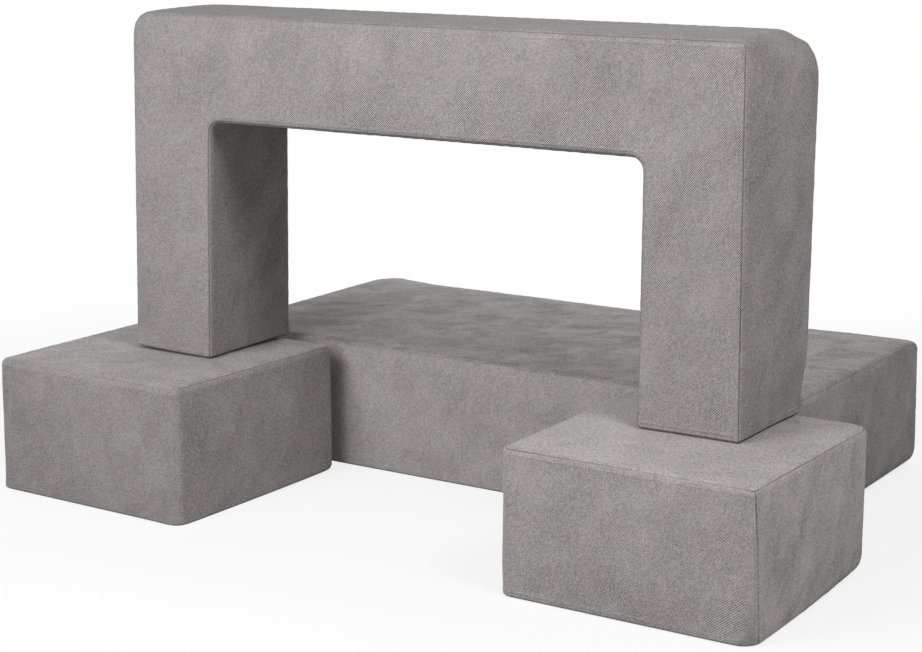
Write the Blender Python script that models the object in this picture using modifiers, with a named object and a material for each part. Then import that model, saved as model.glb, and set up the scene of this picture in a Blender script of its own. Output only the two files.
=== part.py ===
"""Modular foam play sofa.

Four foam modules in zipped fabric covers: a base slab on the floor, two square blocks
in front of it, and a U-shaped arch that stands on the blocks. Two blocks fill the
arch's opening, and the arch with its blocks covers the base, so every size follows
from the block, the leg, the crossbar and the thickness of a module.

Metres, +Z up. X runs along the arch, and +Y points from the blocks to the base. The
origin is on the floor, under the middle of the whole group.
"""

import math

import bmesh
import bpy
from mathutils import Vector

# Modules
BLOCK_SIDE = 0.500
MODULE_DEPTH = 0.280
ARCH_LEG = 0.200
ARCH_BAR = 0.210

# Where the modules stand
BLOCK_LEFT_OVERHANG = 0.190
BLOCK_RIGHT_OVERHANG = 0.142
BLOCK_FRONT_OVERHANG = 0.225
BASE_LEFT_OVERHANG = 0.041
BLOCK_TO_BASE = 0.045

# Form of the foam
EDGE_RADIUS = 0.011
ARCH_CORNER_RADIUS = 0.045
OPENING_CORNER_RADIUS = 0.025
BLOCK_CROWN = 0.007
BASE_CROWN = 0.009
BLOCK_BULGE = 0.004
ARCH_BULGE = 0.004
OPENING_BULGE = 0.002

# Sewn cover
COVER_THICKNESS = 0.0012
SEAM_GAP = 0.0004
TOUCH_GAP = 0.0003
BAND_RETURN = 0.040

# Zip: teeth, tapes, and the slot between the cover's strips
ZIP_SLOT = 0.010
TAPE_WIDTH = 0.014
TAPE_THICKNESS = 0.0006
TAPE_TUCK = 0.008
TEETH_WIDTH = 0.0020
TEETH_THICKNESS = 0.0024
TUNNEL_DEPTH = 0.004

# Zip slider and its bail
SLIDER_LENGTH = 0.011
SLIDER_WIDTH = 0.009
SLIDER_CORNER = 0.0025
WEB_THICKNESS = 0.0010
WING_THICKNESS = 0.0012
SLIDE_CLEARANCE = 0.0003
SLIDER_END_CLEARANCE = 0.001
BAIL_LENGTH = 0.0084
BAIL_WIDTH = 0.0020
BAIL_BAR = 0.0010
BAIL_ROOM = 0.0022

# Zip pull
PULL_LENGTH = 0.028
PULL_WIDTH = 0.0070
PULL_THICKNESS = 0.0012
PULL_WINDOW = 0.0064
PULL_WINDOW_WIDTH = 0.0038
PULL_CORNER = 0.0016

# Shares of a half length, counted from the middle, where a face is divided, and the
# share of a crowned face that stays level
CUT_SHARES = (0.35, 0.7)
LEVEL_SHARE = 0.35
LEG_CUT_SHARES = (0.3, 0.65)
ARC_SHARE = 1 - math.tan(math.radians(22.5))
OVERRUN = 0.002

COLOURS = {
    "cover_fabric": ((0.33, 0.31, 0.30), 0.95, 0.0),
    "foam": ((0.75, 0.74, 0.68), 0.9, 0.0),
    "zip_tape": ((0.20, 0.19, 0.185), 0.85, 0.0),
    "zip_teeth": ((0.16, 0.155, 0.15), 0.45, 0.0),
    "zip_metal": ((0.42, 0.41, 0.40), 0.35, 1.0),
}

ARCH_WIDTH = 2 * (BLOCK_SIDE + ARCH_LEG)
ARCH_HEIGHT = BLOCK_SIDE + ARCH_BAR
BASE_LENGTH = ARCH_WIDTH
BASE_WIDTH = ARCH_HEIGHT
CORE_INSET = COVER_THICKNESS + TOUCH_GAP

# Heights above the tapes' middle plane, outwards
COVER_HEIGHT = TAPE_THICKNESS / 2 + TOUCH_GAP + COVER_THICKNESS
WING_HEIGHT = TEETH_THICKNESS / 2 + SLIDE_CLEARANCE
WING_TOP = WING_HEIGHT + WING_THICKNESS
PIVOT_HEIGHT = WING_TOP + BAIL_ROOM / 2
BAIL_TOP = WING_TOP + BAIL_ROOM + BAIL_BAR
TEETH_INNER = WEB_THICKNESS / 2 + SLIDE_CLEARANCE
TEETH_OUTER = TEETH_INNER + TEETH_WIDTH
TAPE_INNER = TEETH_OUTER + TOUCH_GAP

# Places of the modules: low corner in X, and the front face in Y
GROUP_WIDTH = BLOCK_LEFT_OVERHANG + ARCH_WIDTH + BLOCK_RIGHT_OVERHANG
GROUP_DEPTH = BLOCK_BULGE + BLOCK_SIDE + BLOCK_TO_BASE + BASE_WIDTH + BAIL_TOP - COVER_HEIGHT
LEFT_EDGE = -GROUP_WIDTH / 2
BLOCK_FRONT = BLOCK_BULGE - GROUP_DEPTH / 2
BASE_FRONT = BLOCK_FRONT + BLOCK_SIDE + BLOCK_TO_BASE
ARCH_LEFT = LEFT_EDGE + BLOCK_LEFT_OVERHANG
ARCH_FRONT = BLOCK_FRONT + BLOCK_FRONT_OVERHANG
ARCH_FOOT = MODULE_DEPTH + BLOCK_CROWN + TOUCH_GAP

BODY_COLLECTION = "modular_foam_play_sofa"
CUTTER_COLLECTION = "cutters"


# Scene, materials and small helpers


def empty_scene():
    """Remove whatever the file holds, and make the two collections."""
    for item in list(bpy.data.objects):
        bpy.data.objects.remove(item, do_unlink=True)
    for name in (BODY_COLLECTION, CUTTER_COLLECTION):
        collection = bpy.data.collections.new(name)
        bpy.context.scene.collection.children.link(collection)


def material(node_name, finish):
    """One Principled material for each piece."""
    colour, roughness, metallic = COLOURS[finish]
    made = bpy.data.materials.new(f"{node_name}_{finish}")
    made.use_nodes = True
    shader = made.node_tree.nodes["Principled BSDF"]
    shader.inputs["Base Color"].default_value = (*colour, 1)
    shader.inputs["Roughness"].default_value = roughness
    shader.inputs["Metallic"].default_value = metallic
    made.diffuse_color = (*colour, 1)
    return made


def add_object(name, mesh, finish, parent, place=(0, 0, 0)):
    """Link a piece, with its own material, at a place in its parent's frame."""
    piece = bpy.data.objects.new(name, mesh)
    bpy.data.collections[BODY_COLLECTION].objects.link(piece)
    piece.parent = parent
    piece.location = place
    if not mesh.materials:
        mesh.materials.append(None)
    piece.material_slots[0].link = "OBJECT"
    piece.material_slots[0].material = material(name, finish)
    return piece


def add_empty(name, place):
    """The parent of a module's pieces, at the middle of its underside."""
    empty = bpy.data.objects.new(name, None)
    bpy.data.collections[BODY_COLLECTION].objects.link(empty)
    empty.location = place
    return empty


def mesh_from(bm, name):
    """Turn a bmesh into mesh data and free it."""
    mesh = bpy.data.meshes.new(name)
    bm.to_mesh(mesh)
    bm.free()
    return mesh


def box_mesh(name, low, high, bevel=0.0, upright_only=False):
    """A box between two corners, its edges (or only those along Y) bevelled."""
    bm = bmesh.new()
    bmesh.ops.create_cube(bm, size=1)
    low, high = Vector(low), Vector(high)
    bmesh.ops.scale(bm, vec=high - low, verts=bm.verts)
    bmesh.ops.translate(bm, vec=(low + high) / 2, verts=bm.verts)
    if bevel:
        edges = [e for e in bm.edges if not upright_only or runs_along_y(e)]
        bmesh.ops.bevel(bm, geom=edges, offset=bevel, segments=2, profile=0.5, affect="EDGES")
    return mesh_from(bm, name)


def runs_along_y(edge):
    direction = edge.verts[1].co - edge.verts[0].co
    return abs(direction.y) > abs(direction.x) + abs(direction.z)


def add_cutter(name, low, high, parent):
    """A box that cuts, kept out of the build and of renders."""
    cutter = bpy.data.objects.new(name, box_mesh(name, low, high))
    bpy.data.collections[CUTTER_COLLECTION].objects.link(cutter)
    cutter.parent = parent
    cutter.hide_render = True
    cutter.display_type = "WIRE"
    return cutter


def cut_with(piece, cutter, operation="DIFFERENCE"):
    """Add an exact Boolean to a piece."""
    boolean = piece.modifiers.new(cutter.name, "BOOLEAN")
    boolean.object = cutter
    boolean.operation = operation
    boolean.solver = "EXACT"


def baked_mesh(piece, name):
    """The mesh of a piece with its modifiers applied."""
    bpy.context.view_layer.update()
    graph = bpy.context.evaluated_depsgraph_get()
    mesh = bpy.data.meshes.new_from_object(piece.evaluated_get(graph))
    mesh.name = name
    return mesh


# Cages: a module's outer surface before it is rounded and crowned


def divide(bm, axis, places, belongs=lambda face: True):
    """Cut edge loops across an axis, at some places, into the faces that belong."""
    normal = Vector([float(i == axis) for i in range(3)])
    for place in places:
        chosen = [face for face in bm.faces if belongs(face)]
        geometry = set(chosen)
        for face in chosen:
            geometry.update(face.edges)
            geometry.update(face.verts)
        bmesh.ops.bisect_plane(bm, geom=list(geometry), plane_co=normal * place, plane_no=normal)


def both_sides(half, shares, edge):
    """Places on both sides of a middle at zero: the shares, and one near each end."""
    near = [half * share for share in shares] + [half - edge]
    return [-place for place in reversed(near)] + near


def box_cage(length, width, depth):
    """A slab's cage, its underside's middle at the origin."""
    bm = bmesh.new()
    bmesh.ops.create_cube(bm, size=1)
    bmesh.ops.scale(bm, vec=(length, width, depth), verts=bm.verts)
    for axis, size in enumerate((length, width, depth)):
        divide(bm, axis, both_sides(size / 2, CUT_SHARES, EDGE_RADIUS))
    bmesh.ops.translate(bm, vec=(0, 0, depth / 2), verts=bm.verts)
    bm.normal_update()
    return bm


def arch_outline_places():
    """Where the arch's front face is divided, in X and in Z."""
    half = ARCH_WIDTH / 2
    inner = half - ARCH_LEG
    round_in = OPENING_CORNER_RADIUS
    right = [
        inner - round_in,
        inner - round_in * ARC_SHARE,
        inner,
        inner + EDGE_RADIUS,
        half - ARCH_LEG / 2,
        half - ARCH_CORNER_RADIUS,
        half - ARCH_CORNER_RADIUS * ARC_SHARE,
        half - EDGE_RADIUS,
    ]
    leg = ARCH_HEIGHT - ARCH_BAR
    upright = [
        EDGE_RADIUS,
        leg * LEG_CUT_SHARES[0],
        leg * LEG_CUT_SHARES[1],
        leg - round_in,
        leg - round_in * ARC_SHARE,
        leg,
        leg + EDGE_RADIUS,
        leg + ARCH_BAR / 2,
        ARCH_HEIGHT - ARCH_CORNER_RADIUS,
        ARCH_HEIGHT - ARCH_CORNER_RADIUS * ARC_SHARE,
        ARCH_HEIGHT - EDGE_RADIUS,
    ]
    return [-place for place in reversed(right)] + [0.0] + right, upright


def arch_cage():
    """The U-shaped cage, its feet's plane at zero and its front face at zero in Y."""
    bm = bmesh.new()
    bmesh.ops.create_grid(bm, x_segments=1, y_segments=1, size=0.5)
    for vert in bm.verts:
        vert.co = Vector((vert.co.x * ARCH_WIDTH, 0, (vert.co.y + 0.5) * ARCH_HEIGHT))
    across, upright = arch_outline_places()
    divide(bm, 0, across)
    divide(bm, 2, upright)
    hole = [f for f in bm.faces if in_opening(f.calc_center_median())]
    bmesh.ops.delete(bm, geom=hole, context="FACES")
    grown = bmesh.ops.extrude_face_region(bm, geom=bm.faces[:])
    moved = [item for item in grown["geom"] if isinstance(item, bmesh.types.BMVert)]
    bmesh.ops.translate(bm, vec=(0, MODULE_DEPTH, 0), verts=moved)
    bmesh.ops.recalc_face_normals(bm, faces=bm.faces)
    half = MODULE_DEPTH / 2
    divide(bm, 1, [half + place for place in both_sides(half, CUT_SHARES[:1], EDGE_RADIUS)])
    bm.normal_update()
    return bm


def in_opening(point):
    inner = ARCH_WIDTH / 2 - ARCH_LEG
    return abs(point.x) < inner and point.z < ARCH_HEIGHT - ARCH_BAR


def round_arch_corners(bm):
    """Bend the cage's square corners, outside and in the opening, onto arcs.

    Outside, what lies inside the corner follows. In the opening only its wall moves.
    """
    half = ARCH_WIDTH / 2
    inner = half - ARCH_LEG
    leg = ARCH_HEIGHT - ARCH_BAR
    for vert in bm.verts:
        side = math.copysign(1, vert.co.x)
        outer = Vector((half - ARCH_CORNER_RADIUS, ARCH_HEIGHT - ARCH_CORNER_RADIUS))
        here = Vector((abs(vert.co.x), vert.co.z))
        away = here - outer
        if min(away) > 0:
            here = outer + away * max(away) / away.length
        opening = Vector((inner - OPENING_CORNER_RADIUS, leg - OPENING_CORNER_RADIUS))
        away = here - opening
        if min(away) > 0 and max(away) < OPENING_CORNER_RADIUS + EDGE_RADIUS / 2:
            here = opening + away * OPENING_CORNER_RADIUS / away.length
        vert.co.x, vert.co.z = side * here.x, here.y
    bm.normal_update()


# Rounding and crowning


def smooth_groups(vert):
    """The directions that a vertex faces: one on a face, two on an edge, three on a corner."""
    groups = []
    for face in vert.link_faces:
        for group in groups:
            if group[0].dot(face.normal) > math.cos(math.radians(55)):
                group.append(face.normal)
                break
        else:
            groups.append([face.normal])
    means = [sum(group, Vector()).normalized() for group in groups]
    return [mean / mean.dot(group[0]) for mean, group in zip(means, groups)]


def rise(place, half):
    """From 1 over the level middle of a face down to 0 at its edge, as a quarter wave."""
    beyond = (abs(place) / half - LEVEL_SHARE) / (1 - LEVEL_SHARE)
    return math.cos(math.pi / 2 * min(max(beyond, 0), 1))


# How far a rounded edge and a rounded corner lie inside the sharp ones, in radii
SET_BACK = {1: 0.0, 2: 1 - math.sqrt(1 / 2), 3: 1 - math.sqrt(1 / 3)}


def shaped_points(bm, bulge):
    """For each vertex, a function of the inset: its place on the rounded, crowned form."""
    points = []
    for vert in bm.verts:
        groups = smooth_groups(vert)
        swell = Vector()
        if len(groups) == 1:
            swell = groups[0] * bulge(vert.co, groups[0])
        total = sum(groups, Vector())
        points.append((vert.co + swell, total, SET_BACK[len(groups)]))
    return points


def inset_place(point, inset):
    """A shaped point moved inwards, with the radius of its edge shrinking along."""
    place, total, set_back = point
    return place - total * (inset + set_back * (EDGE_RADIUS - inset))


def slab_bulge(length, width, depth, crown, side):
    """Crowned top, slightly swollen front and ends, flat underside and rear."""

    def bulge(place, normal):
        along = rise(place.x, length / 2)
        across = rise(place.y, width / 2)
        upward = rise(place.z - depth / 2, depth / 2)
        if normal.z > 0.5:
            return crown * along * across
        if abs(normal.x) > 0.5:
            return side * across * upward
        if normal.y < -0.5:
            return side * along * upward
        return 0.0

    return bulge


def arch_bulge(place, normal):
    """Swollen front, sides and top, with a flat rear and flat feet."""
    half = ARCH_WIDTH / 2
    inner = half - ARCH_LEG
    leg = ARCH_HEIGHT - ARCH_BAR
    across = rise(place.y - MODULE_DEPTH / 2, MODULE_DEPTH / 2)
    outside = min(half - abs(place.x), ARCH_HEIGHT - place.z)
    inside = max(abs(place.x) - inner, place.z - leg)
    from_edge = min(outside, inside, place.z) / (ARCH_LEG / 2)
    from_foot = min(place.z / (ARCH_LEG / 2), 1)
    if normal.y < -0.5:
        return ARCH_BULGE * math.sin(math.pi / 2 * min(max(from_edge, 0), 1))
    if normal.y > 0.5 or (normal.z < -0.5 and place.z < EDGE_RADIUS):
        return 0.0
    height = ARCH_BULGE if outside < inside else OPENING_BULGE
    return height * across * math.sin(math.pi / 2 * from_foot)


# Core and cover of a module


def copy_with_inset(bm, points, inset):
    """A copy of the cage, moved onto the form at an inset."""
    copy = bm.copy()
    for vert, point in zip(copy.verts, points):
        vert.co = inset_place(point, inset)
    copy.normal_update()
    return copy


def join_flat_faces(bm):
    """Join the faces of each flat stretch into one."""
    bmesh.ops.dissolve_limit(bm, angle_limit=math.radians(0.01), verts=bm.verts, edges=bm.edges)


def make_core(name, bm, points, parent):
    """The foam, the cover's thickness and a small gap inside the outer form."""
    core = copy_with_inset(bm, points, CORE_INSET)
    join_flat_faces(core)
    return add_object(name, mesh_from(core, name), "foam", parent)


def make_panel(name, bm, points, chosen, parent):
    """One sewn panel: the chosen faces, drawn back from the seams and given thickness."""
    panel = copy_with_inset(bm, points, COVER_THICKNESS)
    panel.faces.ensure_lookup_table()
    keep = set(chosen)
    spare = [face for face in panel.faces if face.index not in keep]
    bmesh.ops.delete(panel, geom=spare, context="FACES")
    rim = bmesh.ops.inset_region(
        panel, faces=panel.faces[:], thickness=SEAM_GAP / 2, use_even_offset=True, use_boundary=True
    )
    bmesh.ops.delete(panel, geom=rim["faces"], context="FACES")
    join_flat_faces(panel)
    piece = add_object(name, mesh_from(panel, name), "cover_fabric", parent)
    solid = piece.modifiers.new("cloth thickness", "SOLIDIFY")
    solid.thickness = COVER_THICKNESS
    solid.offset = 1
    solid.use_even_offset = True
    return piece


def cut_rear(bm, rear, length, zip_height):
    """Divide the rear face along the zip's slot and at the slot's two ends."""

    def on_rear(face):
        return face.normal.y > 0.9 and face.calc_center_median().y > rear - EDGE_RADIUS

    divide(bm, 2, [zip_height - ZIP_SLOT / 2, zip_height + ZIP_SLOT / 2], on_rear)
    divide(bm, 0, [-length / 2, length / 2], on_rear)
    bm.normal_update()


def make_tunnel(core, rear, length, zip_height, parent):
    """Press the tapes and the slider's lower wing into the foam behind the zip."""
    plane = rear - COVER_HEIGHT
    reach = length / 2 + TAPE_TUCK + TOUCH_GAP
    tape_edge = TAPE_INNER + TAPE_WIDTH + TOUCH_GAP
    steps = (
        ("tapes", tape_edge, TAPE_THICKNESS / 2 + TOUCH_GAP),
        ("slider", SLIDER_WIDTH / 2 + SEAM_GAP, TUNNEL_DEPTH),
    )
    for tag, half, depth in steps:
        low = (-reach, plane - depth, zip_height - half)
        high = (reach, rear + OVERRUN, zip_height + half)
        cut_with(core, add_cutter(f"{core.name}_{tag}_relief", low, high, parent))


# Zips


def slider_mesh():
    """The slider, its tapes' plane at zero in Y: two wings, a web between and a bail."""
    half, top = SLIDER_WIDTH / 2, WING_TOP
    low = (-SLIDER_LENGTH / 2, -top, -half)
    high = (SLIDER_LENGTH / 2, top, half)
    collection = bpy.data.collections[CUTTER_COLLECTION]
    body = bpy.data.objects.new("slider_blank", box_mesh("slider_blank", low, high, SLIDER_CORNER, True))
    collection.objects.link(body)
    beyond = SLIDER_LENGTH / 2 + OVERRUN
    tape_room = TAPE_THICKNESS / 2 + SLIDE_CLEARANCE
    teeth_room = TEETH_OUTER + SLIDE_CLEARANCE
    channels = (
        ("teeth", WEB_THICKNESS / 2, teeth_room, WING_HEIGHT),
        ("tape", TEETH_OUTER, half + OVERRUN, tape_room),
    )
    helpers = [body]
    for tag, inner, outer, reach in channels:
        for side, start, end in (("up", inner, outer), ("down", -outer, -inner)):
            name = f"slider_{tag}_channel_{side}"
            cutter = add_cutter(name, (-beyond, -reach, start), (beyond, reach, end), None)
            cut_with(body, cutter)
            helpers.append(cutter)
    foot = WING_THICKNESS / 2
    outer = (-BAIL_LENGTH / 2, top - foot, -BAIL_WIDTH / 2), (BAIL_LENGTH / 2, BAIL_TOP, BAIL_WIDTH / 2)
    bail = add_cutter("slider_bail", *outer, None)
    room = BAIL_LENGTH / 2 - BAIL_BAR
    space = add_cutter("slider_bail_room", (-room, 0, -half), (room, BAIL_TOP - BAIL_BAR, half), None)
    cut_with(bail, space)
    cut_with(body, bail, "UNION")
    helpers += [bail, space]
    mesh = baked_mesh(body, "zip_slider")
    for helper in helpers:
        bpy.data.objects.remove(helper, do_unlink=True)
    return mesh


def rounded_rectangle(low, high, corner, steps=3):
    """Points round a rectangle in a plane, with an arc at each corner."""
    points = []
    centres = (
        (high[0] - corner, high[1] - corner),
        (low[0] + corner, high[1] - corner),
        (low[0] + corner, low[1] + corner),
        (high[0] - corner, low[1] + corner),
    )
    for quarter, centre in enumerate(centres):
        for step in range(steps + 1):
            angle = math.pi / 2 * (quarter + step / steps)
            points.append((centre[0] + corner * math.cos(angle), centre[1] + corner * math.sin(angle)))
    return points


def pull_mesh():
    """The pull, from its crossbar at the origin out along +X, flat across Y."""
    bar = PULL_THICKNESS / 2
    outline = rounded_rectangle((-bar, -PULL_WIDTH / 2), (PULL_LENGTH, PULL_WIDTH / 2), PULL_CORNER)
    window_half = PULL_WINDOW_WIDTH / 2
    window = rounded_rectangle((bar, -window_half), (bar + PULL_WINDOW, window_half), bar, 2)
    curve = bpy.data.curves.new("zip_pull", "CURVE")
    curve.dimensions = "2D"
    curve.fill_mode = "BOTH"
    curve.extrude = PULL_THICKNESS / 2
    for points in (outline, window):
        spline = curve.splines.new("POLY")
        spline.points.add(len(points) - 1)
        spline.use_cyclic_u = True
        for target, (along, across) in zip(spline.points, points):
            target.co = (along, across, 0, 1)
    flat = bpy.data.objects.new("zip_pull_outline", curve)
    bpy.data.collections[CUTTER_COLLECTION].objects.link(flat)
    mesh = baked_mesh(flat, "zip_pull")
    bpy.data.objects.remove(flat, do_unlink=True)
    bm = bmesh.new()
    bm.from_mesh(mesh)
    bmesh.ops.remove_doubles(bm, verts=bm.verts, dist=PULL_THICKNESS / 100)
    for vert in bm.verts:
        vert.co = Vector((vert.co.x, -vert.co.z, vert.co.y))
    bmesh.ops.recalc_face_normals(bm, faces=bm.faces)
    bm.to_mesh(mesh)
    bm.free()
    return mesh


def make_zip(prefix, rear, length, zip_height, parent, shared):
    """Tapes, rows of teeth, slider and pull of one zip, closed at its +X end."""
    plane = rear - COVER_HEIGHT
    tucked = length / 2 + TAPE_TUCK
    for tag, side in (("upper", 1), ("lower", -1)):
        strips = (
            ("tape", tucked, TAPE_INNER, TAPE_INNER + TAPE_WIDTH, TAPE_THICKNESS / 2, 0),
            ("teeth", length / 2, TEETH_INNER, TEETH_OUTER, TEETH_THICKNESS / 2, TEETH_WIDTH / 4),
        )
        for kind, reach, inner, outer, thick, bevel in strips:
            name = f"{prefix}_zip_{kind}_{tag}"
            across = sorted((side * inner, side * outer))
            mesh = box_mesh(name, (-reach, -thick, across[0]), (reach, thick, across[1]), bevel)
            add_object(name, mesh, f"zip_{kind}", parent, (0, plane, zip_height))
    start = length / 2 - SLIDER_LENGTH / 2 - SLIDER_END_CLEARANCE
    slider = add_object(
        f"{prefix}_zip_slider", shared["slider"], "zip_metal", parent, (start, plane, zip_height)
    )
    add_object(f"{prefix}_zip_pull", shared["pull"], "zip_metal", slider, (0, PIVOT_HEIGHT, 0))


# Modules


def slab_panel_of(face, length, width, zip_height):
    """Which panel of a slab's cover a cage face belongs to."""
    centre = face.calc_center_median()
    if face.normal.z > 0.5:
        return "cover_top_panel"
    if face.normal.z < -0.5:
        return "cover_bottom_panel"
    if face.normal.y < 0.5 or abs(centre.x) > length / 2:
        return "cover_side_band"
    if abs(centre.z - zip_height) < ZIP_SLOT / 2:
        return None
    return "zip_strip_upper" if centre.z > zip_height else "zip_strip_lower"


def make_cover(prefix, bm, points, panel_of, parent):
    """Sort the cage's faces into panels, and make each of them."""
    chosen = {}
    for face in bm.faces:
        chosen.setdefault(panel_of(face), []).append(face.index)
    chosen.pop(None)
    for panel, faces in sorted(chosen.items()):
        make_panel(f"{prefix}_{panel}", bm, points, faces, parent)


def make_slab(prefix, corner, size, crown, shared):
    """A box-shaped module: foam core, five cover panels and a zip along the rear."""
    length, width = size
    middle = (corner[0] + length / 2, corner[1] + width / 2, 0)
    parent = add_empty(f"{prefix}_module", middle)
    rear = width / 2
    zip_length = length - 2 * BAND_RETURN
    zip_height = MODULE_DEPTH / 2
    bm = box_cage(length, width, MODULE_DEPTH)
    cut_rear(bm, rear, zip_length, zip_height)
    points = shaped_points(bm, slab_bulge(length, width, MODULE_DEPTH, crown, BLOCK_BULGE))
    core = make_core(f"{prefix}_foam_core", bm, points, parent)
    make_tunnel(core, rear, zip_length, zip_height, parent)
    make_cover(prefix, bm, points, lambda face: slab_panel_of(face, zip_length, width, zip_height), parent)
    bm.free()
    make_zip(prefix, rear, zip_length, zip_height, parent, shared)


def arch_panel_of(face, zip_length, zip_height):
    """Which panel of the arch's cover a cage face belongs to."""
    centre = face.calc_center_median()
    if face.normal.y < -0.5:
        return "cover_front_panel"
    if face.normal.y > 0.5:
        in_slot = abs(centre.z - zip_height) < ZIP_SLOT / 2
        if in_slot and abs(centre.x) < zip_length / 2:
            return None
        upper = centre.z > zip_height + ZIP_SLOT / 2
        return "cover_rear_panel_upper" if upper else "cover_rear_panel_lower"
    if centre.z < EDGE_RADIUS / 4 and face.normal.z < -0.5:
        return "foot_panel_right" if centre.x > 0 else "foot_panel_left"
    inside = abs(centre.x) < ARCH_WIDTH / 2 - ARCH_LEG / 2 and centre.z < ARCH_HEIGHT - ARCH_BAR / 2
    return "cover_inner_band" if inside else "cover_outer_band"


def make_arch(shared):
    """The U-shaped module: foam core, seven cover panels and a zip across its rear."""
    prefix = "arch"
    parent = add_empty("arch_module", (ARCH_LEFT + ARCH_WIDTH / 2, ARCH_FRONT, ARCH_FOOT))
    zip_length = ARCH_WIDTH - 2 * BAND_RETURN
    zip_height = ARCH_HEIGHT - ARCH_BAR / 2
    bm = arch_cage()
    cut_rear(bm, MODULE_DEPTH, zip_length, zip_height)
    panels = [arch_panel_of(face, zip_length, zip_height) for face in bm.faces]
    round_arch_corners(bm)
    points = shaped_points(bm, arch_bulge)
    core = make_core("arch_foam_core", bm, points, parent)
    make_tunnel(core, MODULE_DEPTH, zip_length, zip_height, parent)
    make_cover(prefix, bm, points, lambda face: panels[face.index], parent)
    bm.free()
    make_zip(prefix, MODULE_DEPTH, zip_length, zip_height, parent, shared)


def main():
    empty_scene()
    shared = {"slider": slider_mesh(), "pull": pull_mesh()}
    block = (BLOCK_SIDE, BLOCK_SIDE)
    right_block = LEFT_EDGE + GROUP_WIDTH - BLOCK_SIDE
    base_left = ARCH_LEFT - BASE_LEFT_OVERHANG
    make_slab("base", (base_left, BASE_FRONT), (BASE_LENGTH, BASE_WIDTH), BASE_CROWN, shared)
    make_slab("left_block", (LEFT_EDGE, BLOCK_FRONT), block, BLOCK_CROWN, shared)
    make_slab("right_block", (right_block, BLOCK_FRONT), block, BLOCK_CROWN, shared)
    make_arch(shared)


main()
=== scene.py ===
import functools
import math

import bmesh
import bpy
import numpy as np
from bpy.props import FloatProperty, IntProperty, PointerProperty, StringProperty
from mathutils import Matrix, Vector, noise
from mathutils.bvhtree import BVHTree


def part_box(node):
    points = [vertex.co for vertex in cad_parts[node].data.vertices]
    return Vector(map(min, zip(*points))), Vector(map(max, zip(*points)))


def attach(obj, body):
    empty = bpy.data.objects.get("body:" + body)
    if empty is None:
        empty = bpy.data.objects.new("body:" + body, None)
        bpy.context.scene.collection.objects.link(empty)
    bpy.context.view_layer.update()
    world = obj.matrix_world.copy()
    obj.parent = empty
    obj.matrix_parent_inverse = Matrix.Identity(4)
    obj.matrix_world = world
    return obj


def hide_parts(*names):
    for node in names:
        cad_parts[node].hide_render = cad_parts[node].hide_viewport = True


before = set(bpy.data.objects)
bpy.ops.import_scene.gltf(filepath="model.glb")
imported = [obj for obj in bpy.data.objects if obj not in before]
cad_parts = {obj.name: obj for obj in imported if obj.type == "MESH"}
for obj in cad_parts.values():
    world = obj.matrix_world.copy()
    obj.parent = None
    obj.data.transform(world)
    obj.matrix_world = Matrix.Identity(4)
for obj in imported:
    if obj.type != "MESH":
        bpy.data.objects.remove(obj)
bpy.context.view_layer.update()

bl_info = {
    "name": "Modular foam play sofa",
    "version": (1, 0, 0),
    "blender": (4, 5, 0),
    "location": "3D View > Sidebar > Play sofa",
    "description": "Dresses the packed play sofa: covers, seams, zips, floor, light and camera",
    "category": "Add Mesh",
}

SLABS = ("base", "left_block", "right_block")
MODULES = SLABS + ("arch",)

# How the modules differ in the photograph, where the right block looks crisp and the left
# block and the base soft. Lengths are in metres.
# closing: the corner, as (right, rear), where a seam closes the band
# askew: how far that seam's foot lies beside its corner
# corners: the upright edges, as (right, rear), with their radii at the top and the foot
# edge_radius: the edges round the top; the arch's edges
# right_foot_radii: the edge at the right side's foot, at the front and the rear
# raised_rim: how much higher the top's rim lies than the height of its crown gives
# front_left_foot, front_left_rise: how far that corner stands out at its foot, and up at its top
# front_right, rear_right: how far these corners stand out to the right at their foot and top
# forward: how far the front right foot stands out to the front
# sunk_rear: how far the top's rear edge has sunk
# foot_radii, foot_lift: the arch's left and right foot, and the left foot's front left and rear
# right corner, where it stands clear of the block
# tightness, closing_tightness: the seams, from a module's left to its right, and the closing one
# ribs, crossed: how much the twill's ribs show, and how much of that the crossing ones do
# mottle: how unevenly the pile lies, on fronts and rears, on sides and on tops; then painted light
# and shade, cloth painted lighter or darker on fronts and rears, on sides and on tops for how the
# lamps light them, and the share of that on the opening's walls, painted shade there
SQUARE = dict(askew=0.0, raised_rim=0.0, front_left_foot=0.0, front_left_rise=0.0,
              front_right=(0.0, 0.0), forward=0.0, sunk_rear=0.0)
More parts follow.
